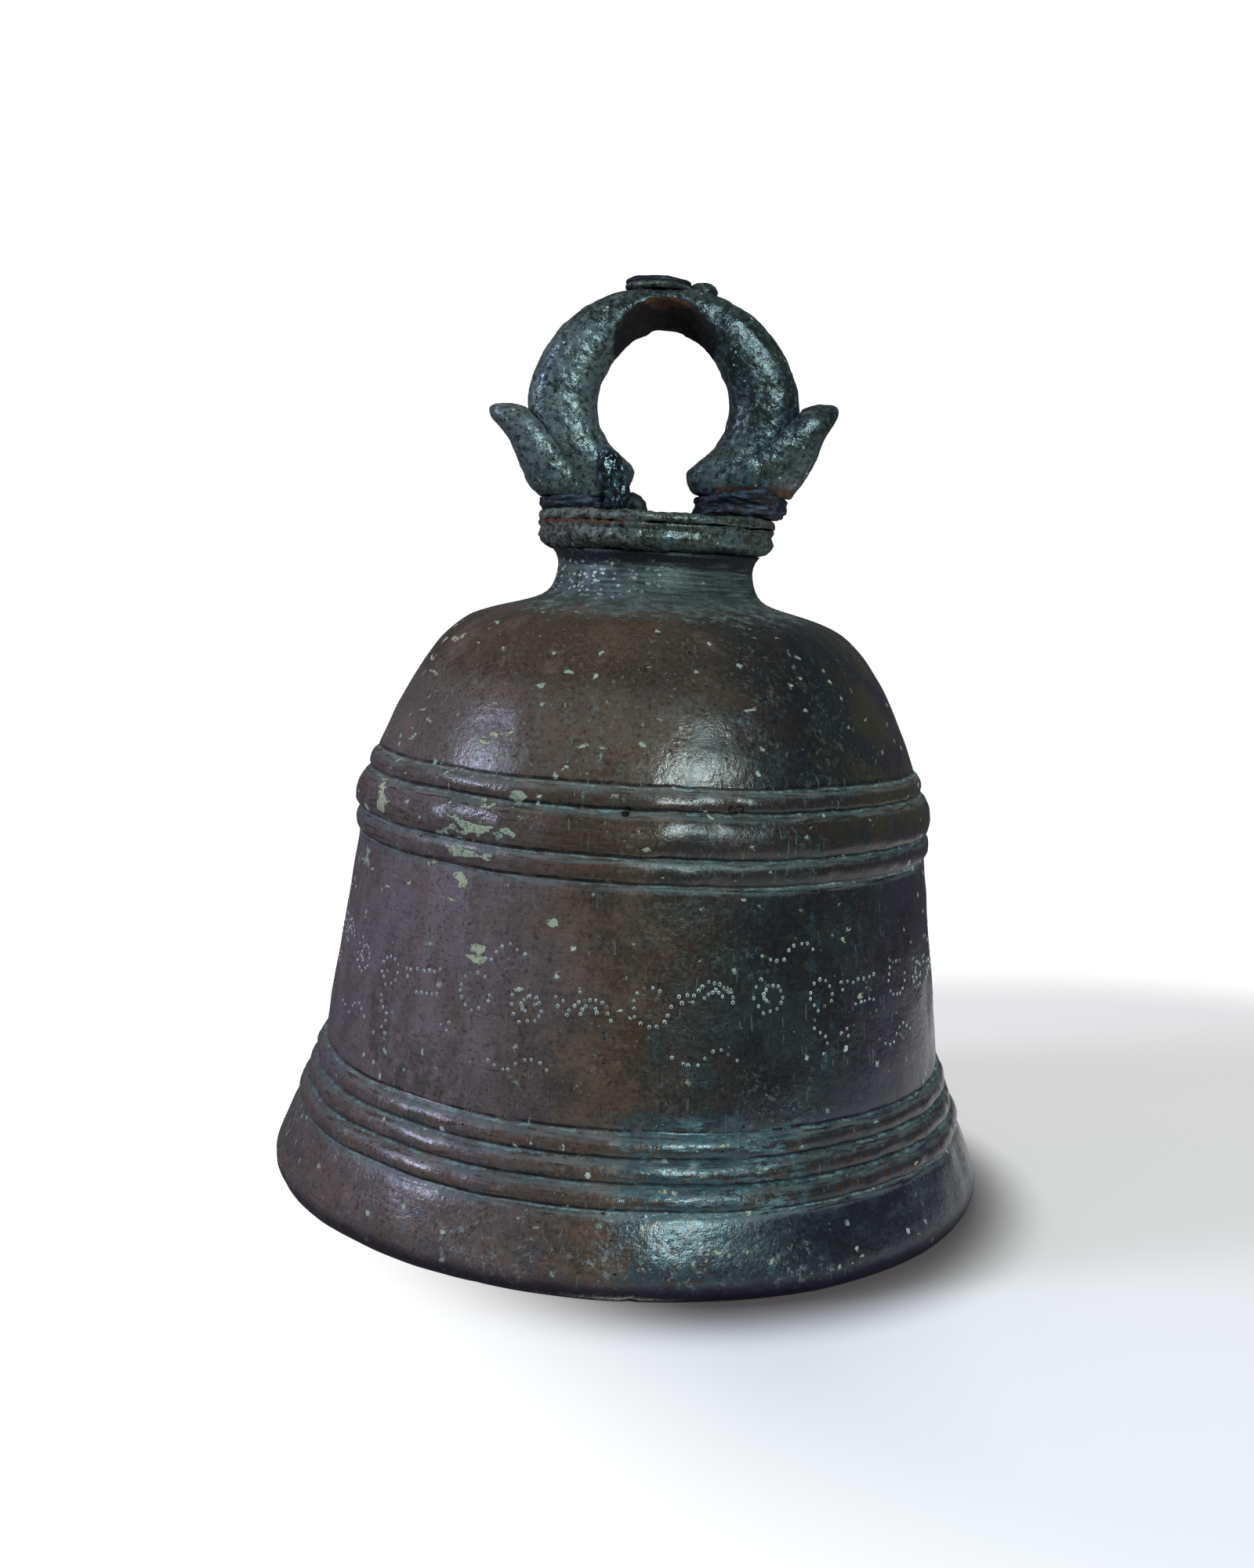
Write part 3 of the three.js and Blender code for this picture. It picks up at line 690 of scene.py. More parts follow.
def rusted_iron(name, rusty=1.0, blue=0.0):
    """Wrought iron: black scale over brown rust, with a grain that runs along the bar."""
    m = Material(name, metallic=0.3, specular=0.5)
    cloudy = m.noise(6, 5, 0.65)
    mottle = m.noise(1.6, 5, 0.7)
    grain = m.noise(0.5, 3, 0.7)
    fibre = m.noise(1.0, 4, 0.6, m.stretched(x=0.22, y=0.4))
    m.colour = mix(cloudy.step(0.4, 0.64) * (0.3 + 0.7 * rusty), IRON_BLACK, DARK_RUST)
    m.paint(RUST, mottle.step(0.52, 0.66) * (0.8 * rusty))
    m.paint(STEEL_BLUE, fibre.step(0.5, 0.64) * blue)
    m.paint(RUST, m.noise(5, 4, 0.7).step(0.6, 0.68) * (0.6 * rusty))
    caked = m.field("crusted") * m.noise(3, 4, 0.7).step(0.42, 0.58)
    m.paint(mix(grain.step(0.4, 0.6), VERDIGRIS, GREY_BROWN), caked * 0.8)
    rough = blend(mottle.step(0.3, 0.7), 0.3, 0.62)
    height = mottle * 0.7 + grain * 0.4 + fibre * 0.8
    return m.finish(rough, height, 0.35)


def black_solder():
    """Solder that ran and set: black, wet-looking, with glints on its bubbles, some of them painted as
    pale teal flecks.
    """
    m = Material("black_solder", metallic=0.55, specular=0.8, coat=0.5, coat_roughness=0.08)
    lumps = m.noise(2.4, 3, 0.5)
    grain = m.noise(0.7, 3, 0.6)
    m.colour = mix(lumps.step(0.46, 0.62), SOLDER_BLACK, SOLDER_BLUE)
    # Painted highlight: pale teal flecks for glints.
    m.paint(PALE_TEAL, grain.step(0.6, 0.7) * 0.7)
    rough = blend(lumps.step(0.35, 0.65), 0.12, 0.3)
    return m.finish(rough, lumps + grain * 0.25, 0.5)


def punch_mark():
    """A punched dot: bright metal and pale dirt in a small bowl."""
    m = Material("punch_mark", metallic=0.2, specular=0.5)
    dirt = m.noise(0.7, 3, 0.6)
    shown = m.field("pale")
    pale = mix(dirt.step(0.4, 0.6), BRIGHT_METAL, PALE_DIRT)
    m.colour = mix(shown, DULL_METAL, pale)
    return m.finish(0.6, dirt, 0.04)


# ---- the casting ----

# Outlines are radius and height.
NECK_TOP = 203.2
HEAD_TOP = 211.7
FOOT = [(106, 0), (109, 0)]
LIP = [(111.5, 0), (113.6, 0.5), (115.1, 2.4), (115.8, 5), (115.4, 8), (114, 12), (112.1, 16.5),
       (110.3, 20.5), (108.4, 23.7)]
LOWER_GROOVES = [24.0, 30.5, 36.9, 43.5]
LOWER_RADII = [108.4, 105.4, 103.0, 100.8]
SHOULDER_GROOVES = [111.2, 118.6, 131.4, 137.9]
SHOULDER_RADII = [92.0, 91.6, 88.8, 86.8]
SHOULDER_BULGES = [1.3, 2.8, 1.4]
GROOVES = LOWER_GROOVES + SHOULDER_GROOVES
WAIST = [(100.9, 44.6), (100.75, 47), (99.9, 55), (99.1, 60), (97.6, 70), (96.1, 80), (94.8, 90),
         (93.4, 100), (92.45, 107), (92.1, 110.2)]
DOME = [(86.8, 137.9), (84.2, 145), (82, 150), (77.2, 160), (70.8, 170), (66.6, 175), (60.8, 180),
        (55, 182.6), (49, 184.4), (41.3, 186.4), (36.4, 188.2), (33.6, 190.8), (32.1, 194.4),
        (31.5, 198.4), (32.3, 201.4), (33.6, NECK_TOP)]
INSIDE = [(103.5, 0), (101.2, 6), (100, 15), (98.8, 25), (94, 45), (90.4, 75), (86.2, 108), (84.5, 120),
          (80.2, 138), (75.6, 150), (69.5, 160), (60, 170), (44, 178.4), (28, 182.2), (21.6, 185),
          (21, 190), (21, NECK_TOP)]
UNDERCUT = 0.45  # how far a bead's foot sinks into the groove
LOWER_BULGE = 1.8
NICK_DEPTH = 1.4  # of the deepest nicks in the lip
COLUMNS = 360
# What polished_bronze reads at each point: its height, and whether it is outside, high on a bead,
# on any bead or under a thick crust.
BRONZE_FIELDS = ("level", "outside", "crest", "beads", "crusted")


def bead_outline(low, high, r_low, r_high, bulge, points=14):
    """A round bead between two grooves, undercut a little at its foot."""
    out = []
    for t in 0.5 - 0.5 * np.cos(np.pi * np.linspace(0.05, 0.95, points)):
        swell = sqrt(max(0, 1 - (2 * t - 1) ** 2))
        radius = r_low + (r_high - r_low) * t + bulge * swell - UNDERCUT * (1 - swell)
        out.append((radius, low + (high - low) * t))
    return out


def outer_outline():
    """The outside from lip to neck: close rows on the beads, wider ones on the plain walls."""
    outline = [resampled(spline(LIP, 6), 1.5)]
    for k in range(3):
        low, high = LOWER_GROOVES[k:k + 2]
        outline.append(bead_outline(low, high, LOWER_RADII[k], LOWER_RADII[k + 1], LOWER_BULGE))
    outline.append(resampled(WAIST, 2.2))
    for k, points in enumerate((14, 20, 14)):
        low, high = SHOULDER_GROOVES[k:k + 2]
        r_low, r_high = SHOULDER_RADII[k:k + 2]
        outline.append(bead_outline(low, high, r_low, r_high, SHOULDER_BULGES[k], points))
    outline.append(resampled(spline(DOME, 6)[1:], 1.9))
    return np.vstack(outline)


def casting():
    """The bell from the lip to the neck, inside and out, with the unevenness of a hand-made mould."""

    def mound(angle, height, wide, tall):
        """1 at a place on the wall, fading out over so many millimetres round it and up it."""
        away = np.abs((around - radians(angle) + pi) % TAU - pi) * r
        return np.exp(-(away / wide) ** 2 - ((level - height) / tall) ** 2)

    outside = outer_outline()
    head = [(31.2, NECK_TOP), (30, NECK_TOP + 0.1), (30, HEAD_TOP - 0.1), (15, HEAD_TOP), (0.5, HEAD_TOP)]
    inner_head = [(19, NECK_TOP), (0.5, NECK_TOP)]
    inside = resampled(spline(INSIDE, 4), 4.4)[::-1]
    profile = np.vstack([inner_head[::-1], inside, FOOT, outside, head])
    rows = len(profile)
    r, around, level = turned(profile, COLUMNS)
    start = (len(inner_head) + len(inside) + len(FOOT)) * COLUMNS
    is_outside = np.zeros(rows * COLUMNS, bool)
    is_outside[start:start + len(outside) * COLUMNS] = True

    on_ring = placed(95, around, 0)
    # Grooves wander up and down, beads swell and thin, and the wall is never quite round.
    fade = smoothstep(2, 14, level) * smoothstep(203, 190, level)
    wander = 0.40 * ripple(on_ring + [0, 0, 300], 55, 11) + 0.14 * ripple(on_ring, 13, 12)
    z = level + np.where(is_outside, wander * fade, 0)
    point = placed(r, around, z)
    swell = 0.30 * ripple(point, 60, 21) + 0.13 * ripple(point, 19, 22) + 0.05 * ripple(point, 7, 23)
    beads = sum(near(level, grooves[0], grooves[-1]) for grooves in (LOWER_GROOVES, SHOULDER_GROOVES))
    swell += beads * (0.20 * ripple(point, 11, 24) + 0.10 * ripple(point, 4.5, 28))
    swell -= 0.35 * smoothstep(1.25, 1.9, ripple(point, 9, 25))
    nicks = smoothstep(0.9, 1.7, ripple(point, 8, 26)) * smoothstep(9, 2, level)
    swell -= NICK_DEPTH * nicks
    for angle, height, width, depth in DENTS:
        swell -= depth * mound(angle, height, width, width)
    swell = np.where(is_outside, swell, 0.15 * ripple(point, 30, 27))
    # The neck is smoother, and the foot is flat.
    swell *= np.where(r > 35, 1, 0.4) * np.where(z < 1e-3, 0, 1)
    r = r + swell

    crest = np.zeros_like(level)
    for low, high in zip(GROOVES, GROOVES[1:]):
        if high - low < 20:
            crest = np.maximum(crest, near(level, low + 1.4, high - 2.4))
    crusted = np.zeros_like(level)
    for patch in CRUSTED:
        crusted = np.maximum(crusted, mound(*patch))
    piece = add_mesh("bell_casting", placed(r, around, z), tube_faces(rows, COLUMNS))
    set_field(piece, "level", level)
    for name, values in zip(BRONZE_FIELDS[1:], (1, crest, beads, crusted)):
        set_field(piece, name, values * is_outside)
    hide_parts("bell_shell")
    return piece


# Casting holes in the shoulder beads: angle from the front in degrees, height and width.
FLAWS = [(17, 132.2, 1.3), (15.4, 132.6, 0.8), (-3.3, 131.4, 0.8), (-3.6, 130.4, 0.9), (-3.9, 129.6, 0.7)]
# Patches of thick crust: angle, height, half length round the bell and half height.
CRUSTED = [(-31.3, 123, 9.5, 1.8), (-33, 115.2, 9, 1.5), (-33.7, 106.5, 2.2, 2.4), (-29, 88, 2.8, 2.2),
           (-2.8, 100, 2.6, 1.5), (-15, 99.5, 1.6, 1.8), (-20.7, 79, 3.4, 1.5), (-58, 124, 4, 4),
           (-24, 132.5, 3.4, 1.4), (-66, 104, 3, 4), (100, 70, 5, 3), (165, 96, 4, 3), (-120, 118, 8, 3)]
# Dents: angle, height, width and depth.
DENTS = [(17, 131.8, 2.0, 0.8), (-3.4, 130.4, 2.0, 0.7), (38, 94, 9, 0.5), (-34, 70, 12, 0.5),
         (-62, 120, 4, 0.6), (120, 60, 10, 0.6), (200, 150, 12, 0.7), (-140, 90, 9, 0.5),
         (72, 20, 7, 0.6), (-28, 6, 5, 0.7)]


# ---- punched ornament ----

ORNAMENT_RADIUS = 97  # of the wall at its middle
ORNAMENT_HEIGHT = 78
FIGURES = 35


def ring_of_dots(x, z, radius, count, start=0.0, sweep=TAU, end_radius=None):
    """Dots on an arc; with end_radius the arc winds in or out as a spiral does."""
    closed = abs(sweep) >= TAU - 1e-6 and end_radius is None
    steps = count if closed else count - 1
    dots = []
    for i in range(count):
        angle = start + sweep * i / steps
        reach = radius + ((end_radius or radius) - radius) * i / steps
        dots.append((x + reach * cos(angle), z + reach * sin(angle)))
    return dots


def line_of_dots(x, z, length, count, rise=0.0):
    return [(x + length * t, z + rise * t) for t in np.linspace(-0.5, 0.5, count)]


def wave(x, z, length, height, count, turn=0.0):
    """A row of dots that swings to and fro; turn lays it along another direction."""
    dots = []
    for t in np.linspace(-0.5, 0.5, count):
        along, across = length * t, height * sin(TAU * 1.25 * t)
        dots.append((x + along * cos(turn) - across * sin(turn),
                     z + along * sin(turn) + across * cos(turn)))
    return dots


def snail(x, z):
    return ring_of_dots(x, z, 5.7, 18, 2.2, 8.4, 1.6)


def open_ring(x, z):
    return ring_of_dots(x, z, 5.2, 13, 1.1, 5.2)


def half_moons(x, z):
    return ring_of_dots(x, z - 2, 6.0, 11, 0.1, 2.9) + ring_of_dots(x, z - 1, 2.7, 6, 0.4, 2.4)


def two_bars(x, z):
    return line_of_dots(x, z + 3.4, 9, 5, 1.0) + line_of_dots(x, z - 3.4, 7.6, 5, 0.7)


def plume(x, z):
    return ring_of_dots(x, z + 1, 4.2, 10, -1.2, 5.2) + wave(x - 0.5, z - 10, 12, 1.4, 7, 1.9)


def ornament_dots():
    """A wandering band of punched figures round the waist: rings, snails, moons, bars and waves."""
    figures = [open_ring, half_moons, snail, plume, two_bars, open_ring, snail, half_moons, plume]
    pitch = TAU * ORNAMENT_RADIUS / FIGURES
    dots = []
    for k in range(FIGURES):
        x = pitch * (k + 0.25)
        turn = TAU * k / FIGURES
        z = ORNAMENT_HEIGHT + 2.6 * sin(turn * 3) + 1.6 * sin(turn * 8)
        dots += figures[k % len(figures)](x, z)
        if k % 4 == 1:
            dots += wave(x - 2, z - 16.5, 18, 2.0, 9, 0.12)
        if k % 5 == 2:
            dots += wave(x + 6, z + 12, 17, 1.8, 9, 0.2)
        if k % 3 == 0:
            dots += ring_of_dots(x + pitch / 2, z + 2.5, 1.4, 3, 0.5)
        if k % 4 == 3:
            dots += ring_of_dots(x + pitch / 2, z - 11, 1.5, 3, 1.2)
    return dots


def punched_dots(wall):
    """Every dot is a shallow bowl punched into the wall, with a low rim."""
    rng = np.random.default_rng(5)
    sides = 10
    rings = [(0.62, -0.12), (0.56, 0.07), (0.42, 0.06), (0.26, 0.00), (0.10, -0.03)]
    surface = BVHTree.FromObject(wall, bpy.context.evaluated_depsgraph_get())
    points, faces, pale = [], [], []
    for along, z in ornament_dots():
        z += rng.normal(0, 0.26)
        angle = along / ORNAMENT_RADIUS + rng.normal(0, 0.0026)
        size = rng.uniform(0.72, 1.02)
        shown = rng.uniform(0.65, 1.0) if rng.random() < 0.92 else 0.25
        out = Vector((sin(angle), -cos(angle), 0))
        centre = surface.ray_cast(out * 0.2 + Vector((0, 0, z * MM)), -out)[0] / MM
        side = Vector((cos(angle), sin(angle), 0))
        up = Vector((0, 0, 1))
        first = len(points)
        for width, lift in rings:
            for i in range(sides):
                turn = TAU * i / sides
                across = side * cos(turn) + up * sin(turn) * 1.15
                points.append(centre + across * width * size + out * lift)
                pale.append(shown)
        faces += [tuple(first + i for i in face) for face in tube_faces(len(rings), sides)]
    piece = add_mesh("punched_ornament", points, faces)
    set_field(piece, "pale", pale)
    return piece


# ---- crown ----

SPIGOT_CLEAR = 31  # radius inside which the collar has to stay clear of the bell's spigot
SEAT_DEPTH = 12.4  # from the loop's top down to the seat that a hook wore


def crown_fields(piece, rust=0.0, worn_and_shaded=0.0):
    """The values that green_bronze reads at each point."""
    nothing = np.zeros(len(piece.data.vertices))
    set_field(piece, "rust", nothing + rust)
    set_field(piece, "worn_and_shaded", nothing + worn_and_shaded)
    set_field(piece, "up", np.clip(normals_of(piece)[:, 2], 0, 1))


def crown_casting(node, voxel, seed, rust=0.5, relax=6):
    """A cast piece of the crown, pitted and lumpy, with some rust on its foot."""
    piece = recast(node + "_casting", node, voxel, relax)
    layers = [(26, 0.25, seed), (7, 0.14, seed + 1), (3.2, 0.12, seed + 2)]
    roughen(piece, layers, (4.0, 0.55, 1.15, seed + 3))
    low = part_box(node)[0].z / MM
    crown_fields(piece, rust * smoothstep(low + 6 * rust, low, points_of(piece)[:, 2]))
    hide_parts(node)
    return piece


def loop():
    """The loop, dark and brown with rust in the scoop that a hook wore under its top; the scoop's downward
    faces are painted dark as shade too.
    """
    piece = crown_casting("crown_loop", 0.7, 40, 0.3, relax=24)
    x, _, z = points_of(piece).T
    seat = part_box("crown_loop")[1].z / MM - SEAT_DEPTH
    under = smoothstep(0.10, -0.35, normals_of(piece)[:, 2]) * smoothstep(17.5, 14.5, np.abs(x + 0.8))
    under *= smoothstep(seat - 13, seat - 8, z)
    crown_fields(piece, smoothstep(seat + 2, seat + 8, z) * under * 0.95, under)
    return piece


def forged(name, node, voxel, seed, rough=1.0):
    """A wrought iron piece, scaled and rusted."""
    piece = recast(name, node, voxel, relax=3)
    layers = [(6, 0.16 * rough, seed), (2.4, 0.12 * rough, seed + 1)]
    roughen(piece, layers, (2.0, 0.3 * rough, 1.2, seed + 2))
    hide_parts(node)
    return piece


def strand(centre, half, start, sweep, low, high, thick, bulge=0.0):
    """One fibre of laminated iron, wound part of the way round a shoe; angles are in turns.

    It climbs from low to high, and bulge lifts its middle.
    """
    steps = max(8, int(40 * abs(sweep)))
    route, radii = [], []
    for t in np.linspace(0, 1, steps):
        angle = TAU * (start + sweep * t)
        c, s = cos(angle), sin(angle)
        x = centre + half[0] * copysign(abs(c) ** 0.8, c)
        y = (half[1] + bulge * sin(pi * t)) * copysign(abs(s) ** 0.8, s)
        z = low + (high - low) * t + bulge * sin(pi * t) + 0.25 * sin(9 * t + start * 20)
        route.append((x, y, z))
        radii.append(thick * (0.35 + 0.65 * sin(pi * (0.08 + 0.84 * t)) ** 0.6))
    return sausage(route, radii)


def shoe(side, seed):
    """Laminated iron between foot and plate: ragged fibres wound round a rusted core."""
    node = side + "_iron_shoe"
    low, high = (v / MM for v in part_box(node))
    centre = (low.x + high.x) / 2
    half = ((high.x - low.x) / 2 - 1.8, (high.y - low.y) / 2 - 0.9)
    foot, top = low.z + 1.1, high.z - 0.6
    rise = high.z - low.z
    # Each fibre: start, sweep, low, high, thickness and bulge.
    wraps = [(0.50, 0.55, foot, foot + 0.45 * rise, 1.35, 0.0),
             (0.53, 0.46, foot + 0.35 * rise, top, 1.3, 0.5),
             (0.02, 0.55, foot, top - 0.5, 1.35, 0.2),
             (0.10, 0.40, foot + 0.4 * rise, top, 1.2, 0.4),
             (0.68, 0.40, foot + 0.1, foot + 0.5 * rise, 1.2, 0.0)]
    if rise > 5:
        wraps += [(0.58, 0.36, foot + 0.5 * rise, top - 0.4, 1.5, 2.0),
                  (0.66, 0.24, top - 1.0, top - 0.2, 1.4, 2.6),
                  (0.08, 0.34, foot + 0.6 * rise, top + 0.8, 1.4, 0.9),
                  (0.88, 0.30, foot + 1.2, foot + 2.6, 1.4, 0.0)]
    fibres = [strand(centre, half, *wrap) for wrap in wraps]
    piece = recast(side + "_shoe_iron", node, 0.5, relax=1, added=fibres)
    points = points_of(piece)
    push(piece, 0.28 * ripple(points * [0.22, 0.5, 1.0], 1.5, seed) + 0.22 * ripple(points, 3.5, seed + 1))
    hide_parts(node)
    return piece


def solder():
    """A run of solder down the front of the left foot: thick drops that froze as they slid."""
    low, high = (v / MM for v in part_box("foot_solder"))
    x, y = (low.x + high.x) / 2, low.y + 2.6
    drops = [(-3.4, 0.98, 1.7), (-2.9, 0.84, 2.7), (-1.9, 0.68, 3.7), (-0.9, 0.52, 4.2), (0.1, 0.38, 4.0),
             (1.0, 0.24, 3.5), (1.6, 0.12, 3.1), (1.8, 0.04, 2.6)]
    route = [(x + across, y, low.z + up * (high.z - low.z)) for across, up, _ in drops]
    run = sausage(route, [radius for _, _, radius in drops], flat=0.72)
    route = [(x - 3, y + 0.4, low.z + 1.6), (x + 1, y + 0.4, low.z + 1.2), (x + 5, y + 1.4, low.z + 1.8)]
    pool = sausage(route, [1.2, 2.0, 1.3])
    piece = recast("foot_solder_run", "foot_solder", 0.4, relax=2, added=[run, pool])
    roughen(piece, [(4.2, 0.42, 71), (1.9, 0.16, 72)])
    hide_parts("foot_solder")
    return piece


def turned_piece(name, node, profile, columns, layers, centre=0.0, step=0.8, crust=0.0):
    """A turned piece made again finely: profile is [radius, height] points in millimetres.

    crust heaps up its left side.
    """
    outline = resampled(profile, step)
    points = placed(*turned(outline, columns)) + [centre, 0, 0]
    faces = tube_faces(len(outline), columns)
    if np.allclose(outline[0], outline[-1]):
        points = points[:-columns]
        faces = ring_faces(len(outline) - 1, columns, closed_rows=True)
    piece = add_mesh(name, points, faces)
    roughen(piece, layers, (3.2, 0.5, 1.1, 97))
    points = points_of(piece)
    x, y, z = points.T
    lumps = 0.6 * ripple(points, 4.2, 98) + 0.35 * ripple(points, 1.8, 99)
    heap = crust * smoothstep(12, -14, x) * (0.30 + lumps)
    heap *= smoothstep(SPIGOT_CLEAR, SPIGOT_CLEAR + 4, np.hypot(x - centre, y))
    push(piece, heap)
    top = outline[:, 1].max()
    crown_fields(piece, 1.5 * crust * smoothstep(10, -20, x) * smoothstep(top - 2, top, z))
    # Painted shade: the hollows between the crust's lumps are marked for the crown's material to paint
    # dark.
    set_field(piece, "pit_shade", smoothstep(0.35, 0.9, -lumps) * smoothstep(8, -10, x) * crust)
    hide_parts(node)
    return piece


def collar():
    low, high = (v.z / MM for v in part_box("neck_collar"))
    profile = [(30.4, low), (33.4, low + 0.05), (35.5, low + 0.7), (37.0, low + 2.0), (37.7, low + 3.6),
               (37.3, low + 5.2), (37.0, low + 6.2), (37.8, high - 1.0), (37.6, high), (30.4, high),
               (30.4, low)]
    layers = [(15, 0.32, 81), (4.5, 0.16, 82), (2, 0.07, 83)]
    return turned_piece("collar_casting", "neck_collar", profile, 300, layers, step=0.6, crust=0.75)


def plate():
    low, high = (v.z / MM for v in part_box("crown_plate"))
    profile = [(0.5, low), (36.9, low), (37.8, low + 0.15), (38.1, low + 1.0), (37.9, high - 0.9),
               (37.1, high - 0.15), (35.5, high), (0.5, high)]
    layers = [(17, 0.26, 85), (5, 0.15, 86)]
    piece = turned_piece("crown_plate_disc", "crown_plate", profile, 260, layers, step=0.6, crust=0.6)
    x, y, z = points_of(piece).T
    feet = smoothstep(10, 26, np.abs(x)) * smoothstep(20, 12, np.abs(y))
    crown_fields(piece, 0.55 * feet * smoothstep(low + 0.5, high - 0.4, z))
    return piece


def axis_and_top(node):
    low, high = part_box(node)
    return (low.x + high.x) / 2 / MM, high.z / MM


def button():
    """A thin disc bedded on a ring of pale crust."""
    centre, top = axis_and_top("crown_button")
    profile = [(0.3, -4.0), (9.4, -4.0), (10.6, -3.4), (10.6, -2.7), (9.9, -2.3), (10.4, -1.8),
               (10.3, -0.9), (9.2, -0.4), (5, -0.15), (0.3, -0.05)]
    outline = np.array(profile) + [0, top]
    layers = [(9, 0.18, 91), (2.6, 0.06, 92)]
    piece = turned_piece("button_disc", "crown_button", outline, 110, layers, centre, 0.45)
    set_field(piece, "crusted", smoothstep(top - 2.1, top - 2.5, points_of(piece)[:, 2]))
    return piece


def rivet():
    """A low round head that has nearly sunk into the loop."""
    centre, top = axis_and_top("crown_rivet")
    profile = [(0.2, -8), (2.9, -8), (3.3, -4.6), (4.6, -4.0), (4.7, -2.8), (4.0, -1.4), (2.4, -0.45),
               (0.2, 0)]
    outline = np.array(profile) + [0, top]
    return turned_piece("rivet_head", "crown_rivet", outline, 56, [(3, 0.12, 94)], centre, 0.5)


# ---- build ----

def dress(piece, material, body="bell"):
    piece.data.materials.clear()
    piece.data.materials.append(material)
    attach(piece, body)


def build_bell():
    bronze = polished_bronze()
    crown = green_bronze("crown_bronze", 0.5)
    crusted = green_bronze("collar_bronze", 0.7, crusted=1.0)
    iron = rusted_iron("rusted_iron")
    black_iron = rusted_iron("black_iron", rusty=0.06, blue=0.30)
    blue_iron = rusted_iron("shoe_iron", rusty=0.12, blue=0.75)
    wall = casting()
    dress(wall, bronze)
    dress(punched_dots(wall), punch_mark())
    dress(collar(), crusted)
    dress(plate(), crusted)
    dress(loop(), crown)
    dress(crown_casting("left_leaf", 0.65, 50), crown)
    dress(crown_casting("right_leaf", 0.65, 60, 1.1), crown)
    dress(shoe("left", 30), blue_iron)
    dress(shoe("right", 34), blue_iron)
    dress(solder(), black_solder())
    dress(button(), black_iron)
    dress(rivet(), crown)
    dress(forged("hanger_iron", "clapper_hanger", 0.5, 100), black_iron)
    dress(forged("link_iron", "hanger_link", 0.45, 110), iron, "link")
    dress(forged("clapper_iron", "clapper_rod", 0.6, 120), iron, "clapper")
    dress(forged("rove_iron", "ball_rove", 0.4, 130, 0.6), iron, "clapper")
    ball = recast("ball_casting", "clapper_ball", 0.8)
    roughen(ball, [(12, 0.2, 140), (4, 0.1, 141)], (3.4, 0.35, 1.2, 142))
    for field in BRONZE_FIELDS:
        set_field(ball, field, np.zeros(len(ball.data.vertices)))
    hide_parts("clapper_ball")
    dress(ball, bronze, "clapper")
    for node in ("left_foot_pin", "right_foot_pin"):
        NODES[node].data.materials.clear()
        NODES[node].data.materials.append(iron)


# ---- studio ----

BELL_MIDDLE = Vector((0, 0, 0.11))
AQUA_LIGHT = (0.70, 0.95, 1.0)
WARM_LIGHT = (1.0, 0.96, 0.90)
SKY = (0.80, 0.86, 1.0)
SKY_STRENGTH = 0.085
BACKDROP_STRENGTH = 1.05
PAPER = (0.94, 0.90, 0.88)
SHADED_PAPER = (0.10, 0.095, 0.10)
PAPER_GLOW = (1, 0.78, 0.73)
GLOW_STRENGTH = 0.05
PAPER_DROP = 0.0003  # keeps the paper just clear of the lip
# The paper sheet's radii in millimetres, and its rings and columns of points.
SHEET_INSIDE = 100
SHEET_OUTSIDE = 2200
SHEET_RINGS = 36
SHEET_COLUMNS = 96
# The camera: its lens and sensor in millimetres, its place in metres and its angles in degrees.
LENS = 37.8
SENSOR_HEIGHT = 36
CAMERA_PLACE = (-0.00563, -0.53854, 0.19556)
LOOKS_DOWN = 7.216
ROLLED = 2.896


def softbox(name, azimuth, elevation, distance, width, height, power, colour):
    """A soft light on the bell; azimuth is measured from the front, positive to the right, in degrees."""
    lamp = bpy.data.lights.new(name, "AREA")
    lamp.shape = "RECTANGLE"
    lamp.size = width
    lamp.size_y = height
    lamp.energy = power
    lamp.color = colour
    thing = add_object(name, lamp)
    a, e = radians(azimuth), radians(elevation)
    offset = Vector((sin(a) * cos(e), -cos(a) * cos(e), sin(e))) * distance
    thing.location = BELL_MIDDLE + offset
    thing.rotation_euler = (BELL_MIDDLE - thing.location).to_track_quat("-Z", "Y").to_euler()
    return thing


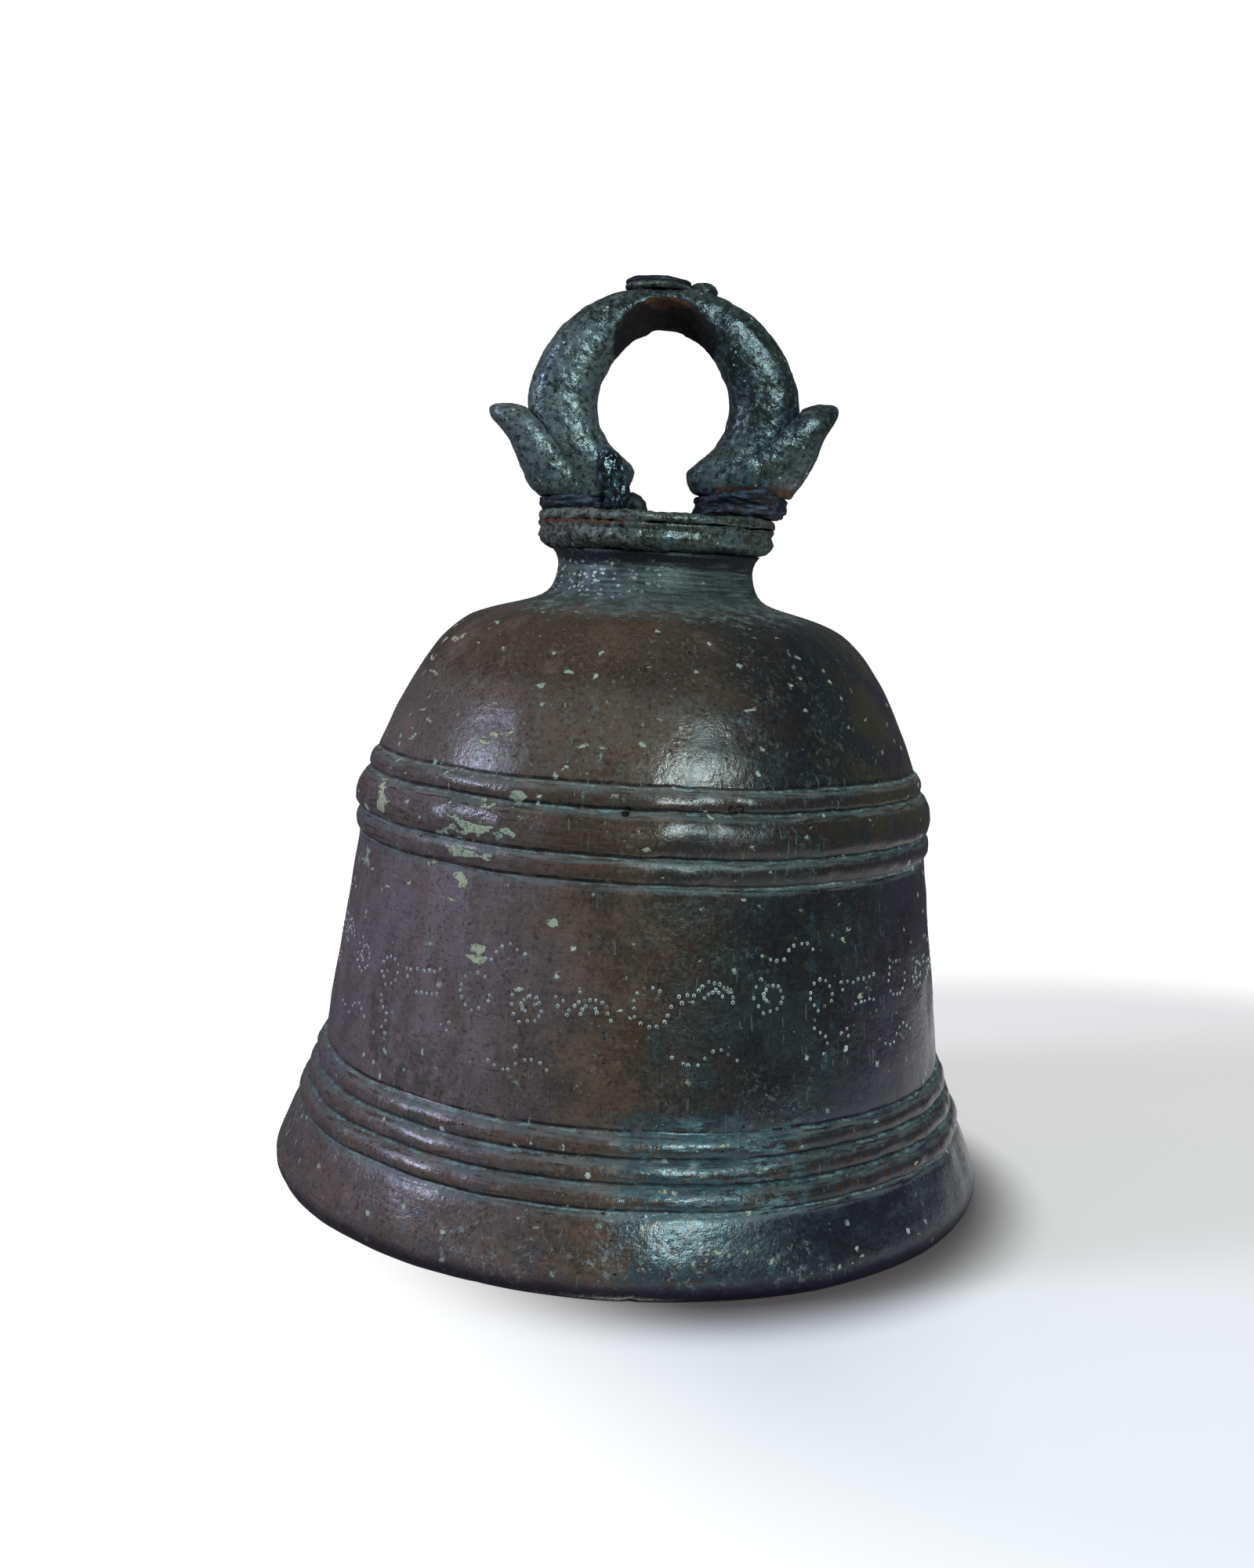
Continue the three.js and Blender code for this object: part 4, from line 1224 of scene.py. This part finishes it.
def studio():
    """White for the camera, a dim sky for the bronze, and soft lights that it mirrors or not."""
    scene = bpy.context.scene
    scene.view_settings.view_transform = "Standard"
    scene.world = bpy.data.worlds.new("studio")
    tree = node_tree(scene.world)
    sky = add_node(tree, "Background", {"Color": SKY, "Strength": SKY_STRENGTH})
    white = add_node(tree, "Background", {"Color": (1, 1, 1), "Strength": BACKDROP_STRENGTH})
    seen = add_node(tree, "LightPath", {}, "Is Camera Ray")
    output = tree.nodes.new("ShaderNodeOutputWorld")
    put(output.inputs[0], add_node(tree, "MixShader", {0: seen, 1: sky, 2: white}))

    softbox("left_window", -74, 22, 1.3, 0.19, 0.11, 4.4, (0.55, 0.68, 1.0))
    softbox("right_window", 27, 30, 1.3, 0.20, 0.15, 4.8, AQUA_LIGHT)
    softbox("low_window", 15, 25, 1.3, 0.12, 0.18, 4.0, AQUA_LIGHT)
    softbox("back_glint", 178, 8, 1.3, 0.12, 0.16, 0.35, WARM_LIGHT)
    softbox("under_fill", 20, -80, 0.5, 0.1, 0.1, 0.6, WARM_LIGHT)
    # These only fill in: they would show as patches if the bronze mirrored them.
    for fill in (softbox("ceiling", 170, 80, 1.6, 1.3, 1.3, 8.5, (1.0, 0.97, 0.93)),
                 softbox("back_fill", 165, 34, 1.5, 0.5, 0.4, 5.0, (1.0, 0.94, 0.86)),
                 softbox("left_fill", -74, 24, 1.3, 0.40, 0.30, 5.8, (0.80, 0.84, 1.0)),
                 softbox("side_fill", 112, 18, 1.3, 0.4, 0.5, 1.5, (0.74, 0.74, 1.0))):
        fill.visible_glossy = False


def floor():
    """A pale round sheet of paper that fades out, so that its far edge doesn't show.

    It is clear from below and open under the bell, so that the clapper can be seen from there.
    """
    spread = np.linspace(0, 1, SHEET_RINGS) ** 1.5
    radii = SHEET_INSIDE + (SHEET_OUTSIDE - SHEET_INSIDE) * spread
    rings = np.column_stack([radii, np.zeros(SHEET_RINGS)])
    faces = [face[::-1] for face in ring_faces(SHEET_RINGS, SHEET_COLUMNS)]
    sheet = add_mesh("paper_floor", placed(*turned(rings, SHEET_COLUMNS)), faces)
    sheet.location.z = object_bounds()[0][2] - PAPER_DROP
    material = bpy.data.materials.new("paper")
    tree = node_tree(material)
    place = add_node(tree, "TexCoord", {}, "Object")

    def beyond(x, y, low, high):
        """0 within low metres of a place on the floor, 1 beyond high."""
        centred = add_node(tree, "Mapping", {"Vector": place, "Location": (-x, -y, 0)})
        return add_node(tree, "VectorMath", {0: centred}, "Value", operation="LENGTH").step(low, high)

    # The paper is darker where it nears the lip, and it fades out a little way to the right.
    colour = mix(beyond(0.004, -0.006, 0.108, 0.137), SHADED_PAPER, PAPER)
    diffuse = add_node(tree, "BsdfDiffuse", {"Color": colour})
    seen = add_node(tree, "LightPath", {}, "Is Camera Ray")
    glow = add_node(tree, "Emission", {"Color": PAPER_GLOW, "Strength": seen * GLOW_STRENGTH})
    paper = add_node(tree, "AddShader", {0: diffuse, 1: glow})
    below = add_node(tree, "NewGeometry", {}, "Backfacing")
    hidden = most(beyond(0.24, 0, 0.24, 0.34), below)
    clear = add_node(tree, "BsdfTransparent", {})
    output = tree.nodes.new("ShaderNodeOutputMaterial")
    put(output.inputs[0], add_node(tree, "MixShader", {0: hidden, 1: paper, 2: clear}))
    sheet.data.materials.append(material)


def camera():
    data = bpy.data.cameras.new("camera")
    data.lens = LENS
    data.sensor_fit = "VERTICAL"
    data.sensor_height = SENSOR_HEIGHT
    thing = add_object("camera", data)
    thing.location = CAMERA_PLACE
    pitch = Matrix.Rotation(radians(90 - LOOKS_DOWN), 4, "X")
    roll = Matrix.Rotation(radians(ROLLED), 4, "Z")
    thing.rotation_euler = (pitch @ roll).to_euler()
    bpy.context.scene.camera = thing


camera()
studio()
floor()
build_bell()
